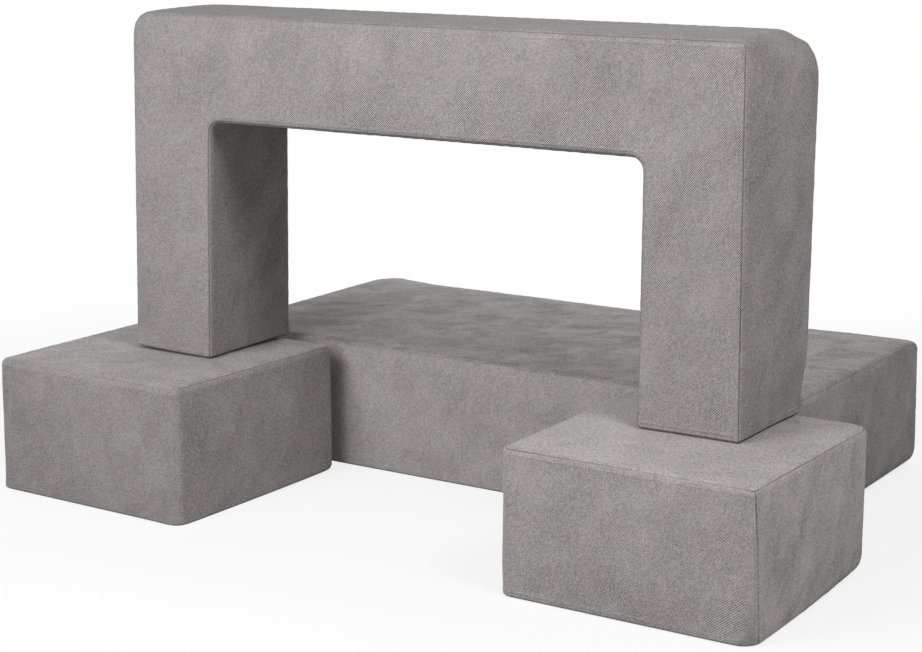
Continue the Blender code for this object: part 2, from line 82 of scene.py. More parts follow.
TRAITS = {
    "base": SQUARE | dict(
        closing=(0, 1),
        corners={(0, 0): (0.022, 0.030), (1, 0): (0.022, 0.030),
                 (1, 1): (0.032, 0.030), (0, 1): (0.030, 0.034)},
        edge_radius=0.015, right_foot_radii=(0.022, 0.038),
        rear_right=(0.008, 0.001), sunk_rear=0.0145,
        tightness=(0.16, 0.16), closing_tightness=0.16,
        ribs=0.6, crossed=0.8, mottle=(0.9, 1.5, 3.0), nap=(1.25, 1.0, 0.88),
    ),
    "left_block": SQUARE | dict(
        closing=(0, 0), askew=0.012,
        corners={(0, 0): (0.019, 0.016), (1, 0): (0.020, 0.032),
                 (1, 1): (0.022, 0.026), (0, 1): (0.022, 0.030)},
        edge_radius=0.016, right_foot_radii=(0.004, 0.018), raised_rim=0.003,
        front_left_foot=0.005, front_left_rise=0.0035,
        front_right=(-0.010, -0.020), rear_right=(0.011, 0.008), forward=0.010,
        tightness=(0.18, 0.25), closing_tightness=0.2,
        ribs=0.6, crossed=0.8, mottle=(0.9, 1.0, 1.3), nap=(0.87, 0.91, 0.94),
    ),
    "right_block": SQUARE | dict(
        closing=(1, 0), askew=0.028,
        corners={(0, 0): (0.016, 0.020), (1, 0): (0.012, 0.040),
                 (1, 1): (0.040, 0.036), (0, 1): (0.024, 0.030)},
        edge_radius=0.012, right_foot_radii=(0.006, 0.042), raised_rim=0.002,
        front_right=(0.002, -0.001), rear_right=(0.008, 0.005),
        tightness=(1.0, 0.30), closing_tightness=1.0,
        ribs=0.85, crossed=0.35, mottle=(0.8, 1.9, 0.9), nap=(1.04, 1.35, 1.09),
    ),
    "arch": dict(
        edge_radius=0.012, foot_radii=(0.010, 0.0065), foot_lift=(0.0040, 0.0055),
        tightness=(0.25, 1.0),
        ribs=1.2, crossed=0.8, mottle=(0.7, 1.4, 0.6), nap=(1.0, 0.96, 0.73), nap_inside=0.80,
    ),
}


# Sizes and colours that a user would change


def metres(name, description, default):
    """A length in metres, shown in the sidebar."""
    return FloatProperty(name=name, description=description, default=default, min=0.0, max=2.0,
                         precision=4, unit="LENGTH", subtype="DISTANCE")


def colour_code(name, description, default):
    """A colour as an sRGB hex code."""
    return StringProperty(name=name, description=description, default=default, maxlen=7)


class CoverSizes(bpy.types.PropertyGroup):
    """How the covers sit on the foam."""

    base_crown: metres("Base crown", "How far the middle of the base's top stands up", 0.009)
    block_crown: metres("Block crown", "How far the middle of a block's top stands up", 0.007)
    side_bulge: metres("Side bulge", "How far a module's sides stand out", 0.004)
    rear_bulge: metres("Rear bulge", "How far a rear swells above and below its zip", 0.0022)
    opening_bulge: metres("Opening bulge", "How far the opening's walls stand out", 0.002)
    resting_radius: metres("Resting radius", "Radius of a slab's edges on the floor", 0.007)
    slack: metres("Slack", "How much smaller a cover starts before it is filled", 0.0012)
    travel: metres("Travel", "The furthest that the filling moves the cloth", 0.0055)
    cell: metres("Cell", "Width of a mesh cell before the last subdivision", 0.0135)
    front_corner: metres("Front corner", "Radius of the arch's right top corner, in front", 0.014)
    rear_corner: metres("Rear corner", "Radius of the same corner at the slack rear", 0.084)
    rear_swell: metres("Rear swell", "How far the arch's right side swells at its rear", 0.012)
    left_corner: metres("Left corner", "Radius of the arch's left top corner", 0.045)
    opening_corner: metres("Opening corner", "Radius of the opening's corners", 0.025)
    pressure: FloatProperty(
        name="Filling pressure", default=4.0, min=0.0, max=20.0,
        description="Pressure of the foam against the cloth while it settles")
    frames: IntProperty(
        name="Settling frames", default=20, min=2, max=60,
        description="Frames for which the cloth settles")


class SeamSizes(bpy.types.PropertyGroup):
    """Seams, stitches and puckers."""

    depth: metres("Seam depth", "How far a seam is drawn in", 0.0021)
    width: metres("Seam width", "Half the width of the drawn-in line", 0.0016)
    roll: metres("Seam roll", "Height of the rolled cloth beside a seam", 0.0006)
    allowance: metres("Allowance", "Where the seam allowance shows through", 0.0125)
    allowance_print: metres("Allowance print", "Height of the allowance's ridge", 0.0008)
    pucker: metres("Pucker", "Height of the puckers beside a seam", 0.0007)
    stitch_pitch: metres("Stitch pitch", "From one stitch to the next", 0.0050)
    stitch_length: metres("Stitch length", "Length of a stitch that shows", 0.0036)
    thread: metres("Thread", "Thickness of the sewing thread", 0.0008)
    sunk: metres("Sunk", "How deep a seam's stitches lie in its groove", 0.0002)


class ZipSizes(bpy.types.PropertyGroup):
    """The zips at the rear."""

    slot: metres("Slot", "Width of the slot in which a zip shows", 0.010)
    recess: metres("Recess", "Depth of the slot behind the rear", 0.0040)
    topstitch: metres("Topstitch", "From the slot's edge to its line of stitches", 0.0065)
    pitch: metres("Tooth pitch", "From one tooth to the next on one side", 0.0030)
    tooth_width: metres("Tooth width", "Width of a tooth's root along the zip", 0.0011)
    tooth_height: metres("Tooth height", "From a tooth's root to the zip's middle", 0.0028)
    tooth_depth: metres("Tooth depth", "Thickness of a tooth through the tape", 0.0023)
    head: metres("Tooth head", "Width of the head that locks between two others", 0.0014)
    bevel: metres("Bevel", "Width of the bevel on the slider's and pull's edges", 0.00022)


class Colours(bpy.types.PropertyGroup):
    """Colours as sRGB hex codes."""

    cloth_warm: colour_code("Warm yarn", "The warmer yarn in the covers' cloth", "#a19a99")
    cloth_cool: colour_code("Cool yarn", "The cooler yarn in the covers' cloth", "#9d9b99")
    thread: colour_code("Thread", "The sewing thread", "#8d8985")
    tape: colour_code("Zip tape", "The zips' woven tape", "#6f6c69")
    teeth: colour_code("Zip teeth", "The zips' moulded teeth", "#5d5b59")
    metal: colour_code("Zip metal", "The sliders and pulls", "#b9b7b3")
    paper: colour_code("Studio floor", "The paper that the sofa stands on", "#f4f4f4")


# Materials

# The cloth: from rib to rib along a panel, how far uneven yarn bends the ribs, a tuft's size,
# and how much each part changes the cloth's lightness
RIB_PITCH = 0.0045
RIB_WOBBLE = (0.0014, 0.0014, 0.0)
RIB_CONTRAST = 0.46
TUFT_SIZE = (0.0042, 0.0032, 1.0)
TUFT_CONTRAST = 0.26
GAP_CONTRAST = -0.32
FLECK_CONTRAST = 0.55
STREAK_CONTRAST = 0.55
CLOUD_CONTRAST = 0.34
# The streaks where the pile lies over: their size, and their slant on a panel
PILE_SIZE = (0.095, 0.060, 1.0)
PILE_SLANT = math.radians(38)
# How light a seam's shaded line is
SEAM_LIGHTNESS = 0.4
# The zip tape: from zigzag to zigzag, how far a rib bends in one, and from rib to rib
ZIGZAG_PITCH = 0.0040
ZIGZAG_REACH = 0.0009
TAPE_RIB_PITCH = 0.0020


def linear(code):
    """An sRGB hex code as linear RGBA."""
    parts = [int(code[i : i + 2], 16) / 255 for i in (1, 3, 5)]
    return [part / 12.92 if part <= 0.04045 else ((part + 0.055) / 1.055) ** 2.4
            for part in parts] + [1.0]


def add_node(tree, kind, inputs=(), **settings):
    """Add a node: its settings by name, its inputs by name or number as values or links.

    Where an input is given a node, it is linked to that node's first output.
    """
    new = tree.nodes.new(kind)
    for name, value in settings.items():
        setattr(new, name, value)
    for key, value in dict(inputs).items():
        if isinstance(value, bpy.types.Node):
            value = value.outputs[0]
        if isinstance(value, bpy.types.NodeSocket):
            tree.links.new(value, new.inputs[key])
        else:
            new.inputs[key].default_value = value
    return new


def fill_tree(tree, output, surface):
    """Fill a material's or the world's tree with the nodes that a surface adds."""
    tree.nodes.clear()
    add = functools.partial(add_node, tree)
    add(output, {"Surface": surface(add, bpy.context.scene.sofa_colours)})


def woven_chenille(add, colours):
    """Polyester chenille, woven as a twill and brushed.

    Tufts of pile 2 mm across, drawn 3 to 4 mm across so that they show, each a little lighter
    or darker than the next, over diagonal ribs 2 mm apart, drawn 3 mm apart. The pile lies in
    streaks of a few centimetres, some lighter and some darker, and the cloth has next to no
    gloss: a soft sheen only.
    """
    place = add("ShaderNodeTexCoord").outputs["Object"]
    weave, pile, specks = (
        add("ShaderNodeUVMap", uv_map=name) for name in ("weave", "pile", "specks")
    )
    ribs_show, crossed, grain, mottle, nap, seam = (
        add("ShaderNodeAttribute", attribute_name=name).outputs["Fac"]
        for name in ("ribs", "crossed", "grain", "mottle", "nap", "seam_shade")
    )

    # tufts, as wide as a rib and a little longer, which stand light out of dark gaps
    slanting = add("ShaderNodeMapping", {"Vector": weave, "Rotation": (0, 0, math.pi / 4),
                                         "Scale": TUFT_SIZE}, vector_type="TEXTURE")
    tufts = add("ShaderNodeTexVoronoi", {"Vector": slanting, "Scale": 1.0, "Randomness": 0.85},
                voronoi_dimensions="2D")
    tuft = add("ShaderNodeSeparateColor", {"Color": tufts.outputs["Color"]})

    # diagonal ribs both ways, bent by the uneven yarn
    wobble = add("ShaderNodeTexNoise", {"Vector": place, "Scale": 60.0, "Detail": 1.0})
    bent = add("ShaderNodeVectorMath", {0: wobble.outputs["Color"], 1: RIB_WOBBLE, 2: weave},
               operation="MULTIPLY_ADD")
    ribs = 0.0
    for direction, strength in (((1.0, -1.0, 0.0), 1.0), ((1.0, 1.0, 0.0), crossed)):
        along = add("ShaderNodeVectorMath", {0: bent, 1: direction}, operation="DOT_PRODUCT")
        phase = add("ShaderNodeMath", {0: along.outputs["Value"], 1: math.tau / RIB_PITCH},
                    operation="MULTIPLY")
        wave = add("ShaderNodeMath", {0: phase}, operation="SINE")
        ribs = add("ShaderNodeMath", {0: wave, 1: strength, 2: ribs}, operation="MULTIPLY_ADD")
    # they come and go in patches of a hand's width, where the pile has been stroked
    stroked = add("ShaderNodeTexNoise", {"Vector": place, "Scale": 11.0, "Detail": 2.0})
    patches = add("ShaderNodeMapRange", {"Value": stroked, "From Min": 0.35, "From Max": 0.65,
                                         "To Min": 0.45, "To Max": 1.15})
    shown = add("ShaderNodeMath", {0: ribs_show, 1: patches}, operation="MULTIPLY")
    ribbed = add("ShaderNodeMath", {0: ribs, 1: shown}, operation="MULTIPLY")

    # flecks 3 mm across, drawn coarser than the yarn's own, and the streaks of the pile
    flecks = add("ShaderNodeTexNoise", {"Vector": specks, "Scale": 300.0, "Detail": 1.0},
                 noise_dimensions="2D")
    drawn_out = add("ShaderNodeMapping", {"Vector": pile, "Rotation": (0, 0, PILE_SLANT),
                                          "Scale": PILE_SIZE}, vector_type="TEXTURE")
    streaks = add("ShaderNodeTexNoise", {"Vector": drawn_out, "Scale": 1.0, "Detail": 4.0,
                                         "Roughness": 0.62, "Distortion": 0.7})
    uneven = []
    for pattern, strength in ((flecks, grain), (streaks, mottle)):
        apart = add("ShaderNodeMath", {0: pattern, 1: 0.5}, operation="SUBTRACT")
        uneven.append(add("ShaderNodeMath", {0: apart, 1: strength}, operation="MULTIPLY"))
    clouds = add("ShaderNodeTexNoise", {"Vector": place, "Scale": 7.0, "Detail": 2.0})

    # each part's share in how light the cloth is: the part, its middle and its contrast
    light = 1.0
    for part, middle, contrast in (
        (tuft.outputs["Red"], 0.5, TUFT_CONTRAST),
        (tufts.outputs["Distance"], 0.38, GAP_CONTRAST),
        (ribbed, 0.0, RIB_CONTRAST),
        (uneven[0], 0.0, FLECK_CONTRAST),
        (uneven[1], 0.0, STREAK_CONTRAST),
        (clouds, 0.5, CLOUD_CONTRAST),
    ):
        apart = add("ShaderNodeMath", {0: part, 1: middle}, operation="SUBTRACT")
        light = add("ShaderNodeMath", {0: apart, 1: contrast, 2: light}, operation="MULTIPLY_ADD")
    line = add("ShaderNodeMapRange", {"Value": seam, "To Min": 1.0, "To Max": SEAM_LIGHTNESS})
    # the painted light and shade of each face, and the seam's shaded line, scale the lightness
    for factor in (nap, line):
        light = add("ShaderNodeMath", {0: light, 1: factor}, operation="MULTIPLY")

    # the yarn is spun from a warmer and a cooler grey, which drift over a few centimetres
    drift = add("ShaderNodeTexNoise", {"Vector": place, "Scale": 17.0, "Detail": 2.0})
    mixed = add("ShaderNodeMath", {0: tuft.outputs["Green"], 1: 0.2, 2: drift},
                operation="MULTIPLY_ADD")
    share = add("ShaderNodeMapRange", {"Value": mixed, "From Min": 0.38, "From Max": 0.84})
    yarn = add("ShaderNodeValToRGB", {"Fac": share})
    yarn.color_ramp.elements[0].color = linear(colours.cloth_warm)
    yarn.color_ramp.elements[1].color = linear(colours.cloth_cool)
    shaded = add("ShaderNodeVectorMath", {0: yarn, "Scale": light}, operation="SCALE")

    relief = add("ShaderNodeMath", {0: tufts.outputs["Distance"], 1: -0.6, 2: ribbed},
                 operation="MULTIPLY_ADD")
    bump = add("ShaderNodeBump", {"Height": relief, "Strength": 0.35, "Distance": 0.0010})
    return add("ShaderNodeBsdfPrincipled", {
        "Base Color": shaded, "Normal": bump, "Roughness": 0.95, "Specular IOR Level": 0.15,
        "Sheen Weight": 0.12, "Sheen Roughness": 0.6})


def sewing_thread(add, colours):
    """Polyester sewing thread, twisted from three strands: matt, lighter on its strands."""
    place = add("ShaderNodeTexCoord").outputs["Object"]
    strands = add("ShaderNodeTexNoise", {"Vector": place, "Scale": 900.0, "Detail": 2.0})
    ramp = add("ShaderNodeValToRGB", {"Fac": strands})
    ramp.color_ramp.elements[0].color = linear(colours.cloth_warm)
    ramp.color_ramp.elements[1].color = linear(colours.thread)
    bump = add("ShaderNodeBump", {"Height": strands, "Strength": 0.3, "Distance": 0.0003})
    return add("ShaderNodeBsdfPrincipled", {"Base Color": ramp, "Normal": bump, "Roughness": 0.7})


def woven_tape(add, colours):
    """Polyester zip tape, woven as a fine herringbone: flat and matt.

    Its ribs are 1.4 mm apart, drawn 2 mm apart so that they show.
    """
    place = add("ShaderNodeTexCoord").outputs["Object"]
    parts = add("ShaderNodeSeparateXYZ", {"Vector": place})
    across = add("ShaderNodeMath", {0: parts.outputs["Z"], 1: math.tau / ZIGZAG_PITCH},
                 operation="MULTIPLY")
    zigzag = add("ShaderNodeMath", {0: across}, operation="COSINE")
    bent = add("ShaderNodeMath", {0: zigzag, 1: ZIGZAG_REACH}, operation="MULTIPLY")
    along = add("ShaderNodeMath", {0: parts.outputs["X"], 1: bent}, operation="ADD")
    phase = add("ShaderNodeMath", {0: along, 1: math.tau / TAPE_RIB_PITCH}, operation="MULTIPLY")
    ribs = add("ShaderNodeMath", {0: phase}, operation="SINE")
    tone = add("ShaderNodeMapRange", {"Value": ribs, "From Min": -1.0, "From Max": 1.0})
    ramp = add("ShaderNodeValToRGB", {"Fac": tone})
    ramp.color_ramp.elements[0].color = linear(colours.teeth)
    ramp.color_ramp.elements[1].color = linear(colours.tape)
    bump = add("ShaderNodeBump", {"Height": tone, "Strength": 0.4, "Distance": 0.0004})
    return add("ShaderNodeBsdfPrincipled", {"Base Color": ramp, "Normal": bump, "Roughness": 0.85})


def moulded_acetal(add, colours):
    """Acetal, injection moulded onto the tape: smooth, waxy, slightly uneven in gloss."""
    place = add("ShaderNodeTexCoord").outputs["Object"]
    haze = add("ShaderNodeTexNoise", {"Vector": place, "Scale": 400.0, "Detail": 2.0})
    gloss = add("ShaderNodeMapRange", {"Value": haze, "To Min": 0.32, "To Max": 0.5})
    ramp = add("ShaderNodeValToRGB", {"Fac": haze})
    ramp.color_ramp.elements[0].color = linear(colours.teeth)
    ramp.color_ramp.elements[1].color = linear(colours.tape)
    return add("ShaderNodeBsdfPrincipled", {"Base Color": ramp, "Roughness": gloss, "IOR": 1.48})


def plated_zinc(add, colours):
    """Zinc alloy, die cast, tumbled and nickel plated: bright with fine tumbling marks."""
    place = add("ShaderNodeTexCoord").outputs["Object"]
    marks = add("ShaderNodeTexNoise", {"Vector": place, "Scale": 700.0, "Detail": 3.0,
                                       "Roughness": 0.7})
    gloss = add("ShaderNodeMapRange", {"Value": marks, "To Min": 0.2, "To Max": 0.45})
    bump = add("ShaderNodeBump", {"Height": marks, "Strength": 0.15, "Distance": 0.0002})
    return add("ShaderNodeBsdfPrincipled", {
        "Base Color": linear(colours.metal), "Metallic": 1.0, "Roughness": gloss, "Normal": bump})


# The stage: how much light comes from all sides, how much of the floor's white is its own glow
# and how much light it throws back, its radius, and from where to where it fades out
SURROUNDINGS = 0.20
FLOOR_GLOW = 0.80
FLOOR_BOUNCE = 0.45
FLOOR_RADIUS = 9.0
FLOOR_FADES = (1.3, 3.2)


def seen_directly(add):
    """1 for rays from the camera, off metal and through glass, and 0 for light."""
    path = add("ShaderNodeLightPath")
    total = path.outputs["Is Camera Ray"]
    for name in ("Is Glossy Ray", "Is Transmission Ray"):
        total = add("ShaderNodeMath", {0: total, 1: path.outputs[name]}, operation="MAXIMUM")
    return total


def white_surroundings(add, colours):
    """A white background to look at, and plain grey light from all sides."""
    strength = add("ShaderNodeMapRange", {"Value": seen_directly(add), "To Min": SURROUNDINGS,
                                          "To Max": 1.0})
    return add("ShaderNodeBackground", {"Color": (1, 1, 1, 1), "Strength": strength})


def studio_paper(add, colours):
    """White paper, rolled smooth, that fades into the background away from the sofa.

    Light sees greyer paper. The eye sees it glow, with what is left of the shadows.
    """
    place = add("ShaderNodeTexCoord").outputs["Object"]
    seen = seen_directly(add)
    most = add("ShaderNodeMapRange", {"Value": seen, "To Min": FLOOR_BOUNCE,
                                      "To Max": 1 - FLOOR_GLOW})
    grain = add("ShaderNodeTexNoise", {"Vector": place, "Scale": 60.0})
    tone = add("ShaderNodeMapRange", {"Value": grain, "To Min": 0.985, "To Max": 1.0})
    tone = add("ShaderNodeMath", {0: tone, 1: most}, operation="MULTIPLY")
    paper = add("ShaderNodeVectorMath", {0: linear(colours.paper)[:3], "Scale": tone},
                operation="SCALE")
    lit = add("ShaderNodeBsdfDiffuse", {"Color": paper})
    glow = add("ShaderNodeMath", {0: seen, 1: FLOOR_GLOW}, operation="MULTIPLY")
    lift = add("ShaderNodeEmission", {"Color": (1, 1, 1, 1), "Strength": glow})
    both = add("ShaderNodeAddShader", {0: lit, 1: lift})
    distance = add("ShaderNodeVectorMath", {0: place}, operation="LENGTH")
    fade = add("ShaderNodeMapRange", {"Value": distance.outputs["Value"],
                                      "From Min": FLOOR_FADES[0], "From Max": FLOOR_FADES[1]},
               interpolation_type="SMOOTHSTEP")
    clear = add("ShaderNodeBsdfTransparent")
    return add("ShaderNodeMixShader", {0: fade, 1: both, 2: clear})


FINISHES = {
    "cover": ("woven polyester chenille", woven_chenille),
    "thread": ("twisted polyester thread", sewing_thread),
    "tape": ("herringbone polyester tape", woven_tape),
    "teeth": ("moulded acetal", moulded_acetal),
    "metal": ("nickel plated zinc", plated_zinc),
    "floor": ("white studio paper", studio_paper),
}
MADE = {}


def finish_for(part):
    """The material of a part, made once."""
    if part not in MADE:
        name, surface = FINISHES[part]
        MADE[part] = bpy.data.materials.new(name)
        MADE[part].use_nodes = True
        fill_tree(MADE[part].node_tree, "ShaderNodeOutputMaterial", surface)
    return MADE[part]


# Forms: a lattice's outer faces, bent onto a module's rounded and crowned surface

# Lattice rows beside a seam, in metres from it, and the least distance between two rows
SEAM_ROWS = (0.0, 0.0014, 0.0030, 0.0050, 0.0078, 0.0112, 0.0140, 0.0180)
LEAST_ROW = 0.0006
# The share of a face over which its crown is level
LEVEL_SHARE = 0.35
# The zip's slot: how far it reaches beyond the teeth, the line of stitches across its ends in
# metres beyond them, the rows that shape its edges, and those that run beside them
SLOT_ALLOWANCE = 0.0016
SLOT_END_STITCH = 0.004
SLOT_END_ROW = 0.0012
SLOT_ROWS = (-0.0007, 0.0001, 0.0012, 0.0030, 0.0065, 0.0100)
# How far past the slot's end a lean starts at the rear, and how deep from the rear it does so
PAST_SLOT = 0.002
REAR_DEPTH = 0.10
# The band's closing seam: how far from its corner it still runs askew, along the band and
# inwards, and how far its own tightness reaches
ASKEW_REACH = (0.10, 0.06)
CLOSING_REACH = 0.03
# The height over which an upright edge's radius changes at its foot, the height over which an
# edge's radius changes above the foot, and how far in from the right side it does
FOOT_HEIGHT = 0.075
RADIUS_HEIGHT = 0.06
RIGHT_DEPTH = 0.10
# The base's sunk rear: how deep it reaches in, and by which share it is less, at the left over
# a length, and at the right from a place along X and over a length
SUNK_DEPTH = 0.11
LESS_AT_LEFT = (0.4, 0.15)
LESS_AT_RIGHT = (0.75, 0.1, 0.5)
# The arch: how far its inner band turns round the opening's edges, how far beyond a corner of
# the opening its bend fades out, and over which lengths its faces swell from their edges and
# from the zip
BAND_TURN = 0.011
CORNER_FADE = 0.06
SWELL_LENGTH = 0.1
ZIP_SWELL_LENGTH = 0.07
# How far a leg leans to the right per metre of height, and the height at which it stands true:
# the left leg's front and rear, and the right leg's front
LEFT_LEG_FRONT, LEFT_LEG_REAR = (0.0265, 0.54), (0.014, 0.82)
RIGHT_LEG_FRONT = (-0.016, 0.52)
# How far the left lean reaches into the crossbar, and the height over which the right rear's
# swell comes up from the foot
LEAN_REACH = 0.45
SWELL_HEIGHT = 0.13
# What counts as nothing: a length and a share to divide by, and how far a point may lie from a
# face or a seam, or from a line of stitches, to be on it
TINY, TINY_SHARE = 1e-9, 1e-12
ON_FACE = 1e-5
ON_LINE = 1e-4


def lattice_shell(lines, filled):
    """Corner places and outward quads round the filled cells of a lattice."""
    solid = np.zeros([len(line) + 1 for line in lines], bool)
    middles = [(line[1:] + line[:-1]) / 2 for line in lines]
    solid[1:-1, 1:-1, 1:-1] = filled(*np.meshgrid(*middles, indexing="ij"))
    quads = []
    for axis in range(3):
        stack = np.moveaxis(solid, axis, 0)
        for outward, mask in ((1, stack[:-1] & ~stack[1:]), (-1, ~stack[:-1] & stack[1:])):
            i, j, k = np.nonzero(mask)
            ring = [(j - 1, k - 1), (j, k - 1), (j, k), (j - 1, k)]
            if (outward < 0) != (axis == 1):
                ring.reverse()
            corners = [np.insert(np.stack(pair, 1), axis, i, axis=1) for pair in ring]
            quads.append(np.stack(corners, 1))
    quads = np.concatenate(quads)
    numbers, faces = np.unique(quads.reshape(-1, 3), axis=0, return_inverse=True)
    places = np.stack([line[numbers[:, axis]] for axis, line in enumerate(lines)], 1)
    return places, faces.reshape(-1, 4)


def rows(stops, cell, extra=()):
    """Lattice lines between stops: close beside each stop, then evenly about a cell apart."""
    lines = set()
    for low, high in zip(stops, stops[1:]):
        near = [row for row in SEAM_ROWS if row < (high - low) / 2]
        lines.update(low + row for row in near)
        lines.update(high - row for row in near)
        start, end = low + near[-1], high - near[-1]
        count = max(round((end - start) / cell), 1)
        lines.update(np.linspace(start, end, count + 1)[1:-1])
    lines = sorted(lines | set(extra))
    kept = lines[:1]
    for line in lines[1:]:
        if line - kept[-1] > LEAST_ROW:
            kept.append(line)
    return np.array(kept)


def rise(place, low, high):
    """From 1 over a face's level middle down to 0 at its edge, as a quarter wave."""
    half = (high - low) / 2
    beyond = (np.abs(place - (low + high) / 2) / half - LEVEL_SHARE) / (1 - LEVEL_SHARE)
    return np.cos(np.pi / 2 * np.clip(beyond, 0, 1))


def quarter_wave(share):
    """From 0 up to 1, steep at first and then level."""
    return np.sin(np.pi / 2 * np.clip(share, 0, 1))


def eased(value, start, length):
    """From 0 before a start to 1 a length beyond it, with no sudden bend."""
    share = np.clip((value - start) / length, 0, 1)
    return share * share * (3 - 2 * share)


def hump(distance, width):
    """From 1 at no distance down towards 0, with that half width."""
    return np.exp(-((distance / width) ** 2))


def zip_height(name):
    """The height of a module's zip."""
    return np.mean(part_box(f"{name}_zip_slider"), axis=0)[2]


def slot_ends(name):
    """Where a module's zip slot starts and ends along X."""
    low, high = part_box(f"{name}_zip_teeth_upper")
    return low[0] - SLOT_ALLOWANCE, high[0] + SLOT_ALLOWANCE


def from_slot(name, flat):
    """How far places are beyond a zip slot's long edges, and beyond its ends."""
    start, end = slot_ends(name)
    half = bpy.context.scene.sofa_zips.slot / 2
    away = np.abs(flat[:, 2] - zip_height(name)) - half
    return away, np.maximum(start - flat[:, 0], flat[:, 0] - end)


class Module:
    """What the base, the blocks and the arch share: a lattice between a low and a high corner.

    bottom is the number of the side on which a module rests, and walls are the places of its
    inner walls along X and Z.
    """

    walls = ((), ())

    def __init__(self, name, sizes, low, high):
        self.name, self.sizes, self.traits = name, sizes, TRAITS[name]
        self.low, self.high = np.array(low), np.array(high)
        self.zip_height = zip_height(name)

    def lines(self):
        """Where the lattice is divided along X, Y and Z."""
        low, high, cell = self.low, self.high, self.sizes.cell
        half = bpy.context.scene.sofa_zips.slot / 2
        ends = (-SLOT_END_STITCH, -SLOT_END_ROW, 0.0, SLOT_END_ROW, SLOT_END_STITCH)
        slot = [end + row for end in slot_ends(self.name) for row in ends]
        beside = (0.0,) + tuple(half + row for row in SLOT_ROWS)
        lips = [self.zip_height + sign * row for row in beside for sign in (-1, 1)]
        return (
            rows([low[0], *self.walls[0], high[0]], cell, slot),
            rows([low[1], high[1]], cell),
            rows([low[2], *self.walls[1], high[2]], cell, lips),
        )

    def share(self, flat):
        """Places as shares of the way from the low corner to the high one."""
        return (flat - self.low) / (self.high - self.low)

    def tightness(self, flat):
        """How tightly the nearest seam is sewn, from a module's left to its right."""
        left, right = self.traits["tightness"]
        return left + (right - left) * eased(self.share(flat)[:, 0], 0, 1)

    def beside_slot(self, flat, share):
        """A lean's share, which at the rear starts only beyond the zip's slot."""
        end = slot_ends(self.name)[1] + PAST_SLOT
        beyond = eased(flat[:, 0], end, self.high[0] - end)
        rear = eased(1 - (self.high[1] - flat[:, 1]) / REAR_DEPTH, 0, 1)
        return share + rear * (beyond - share)


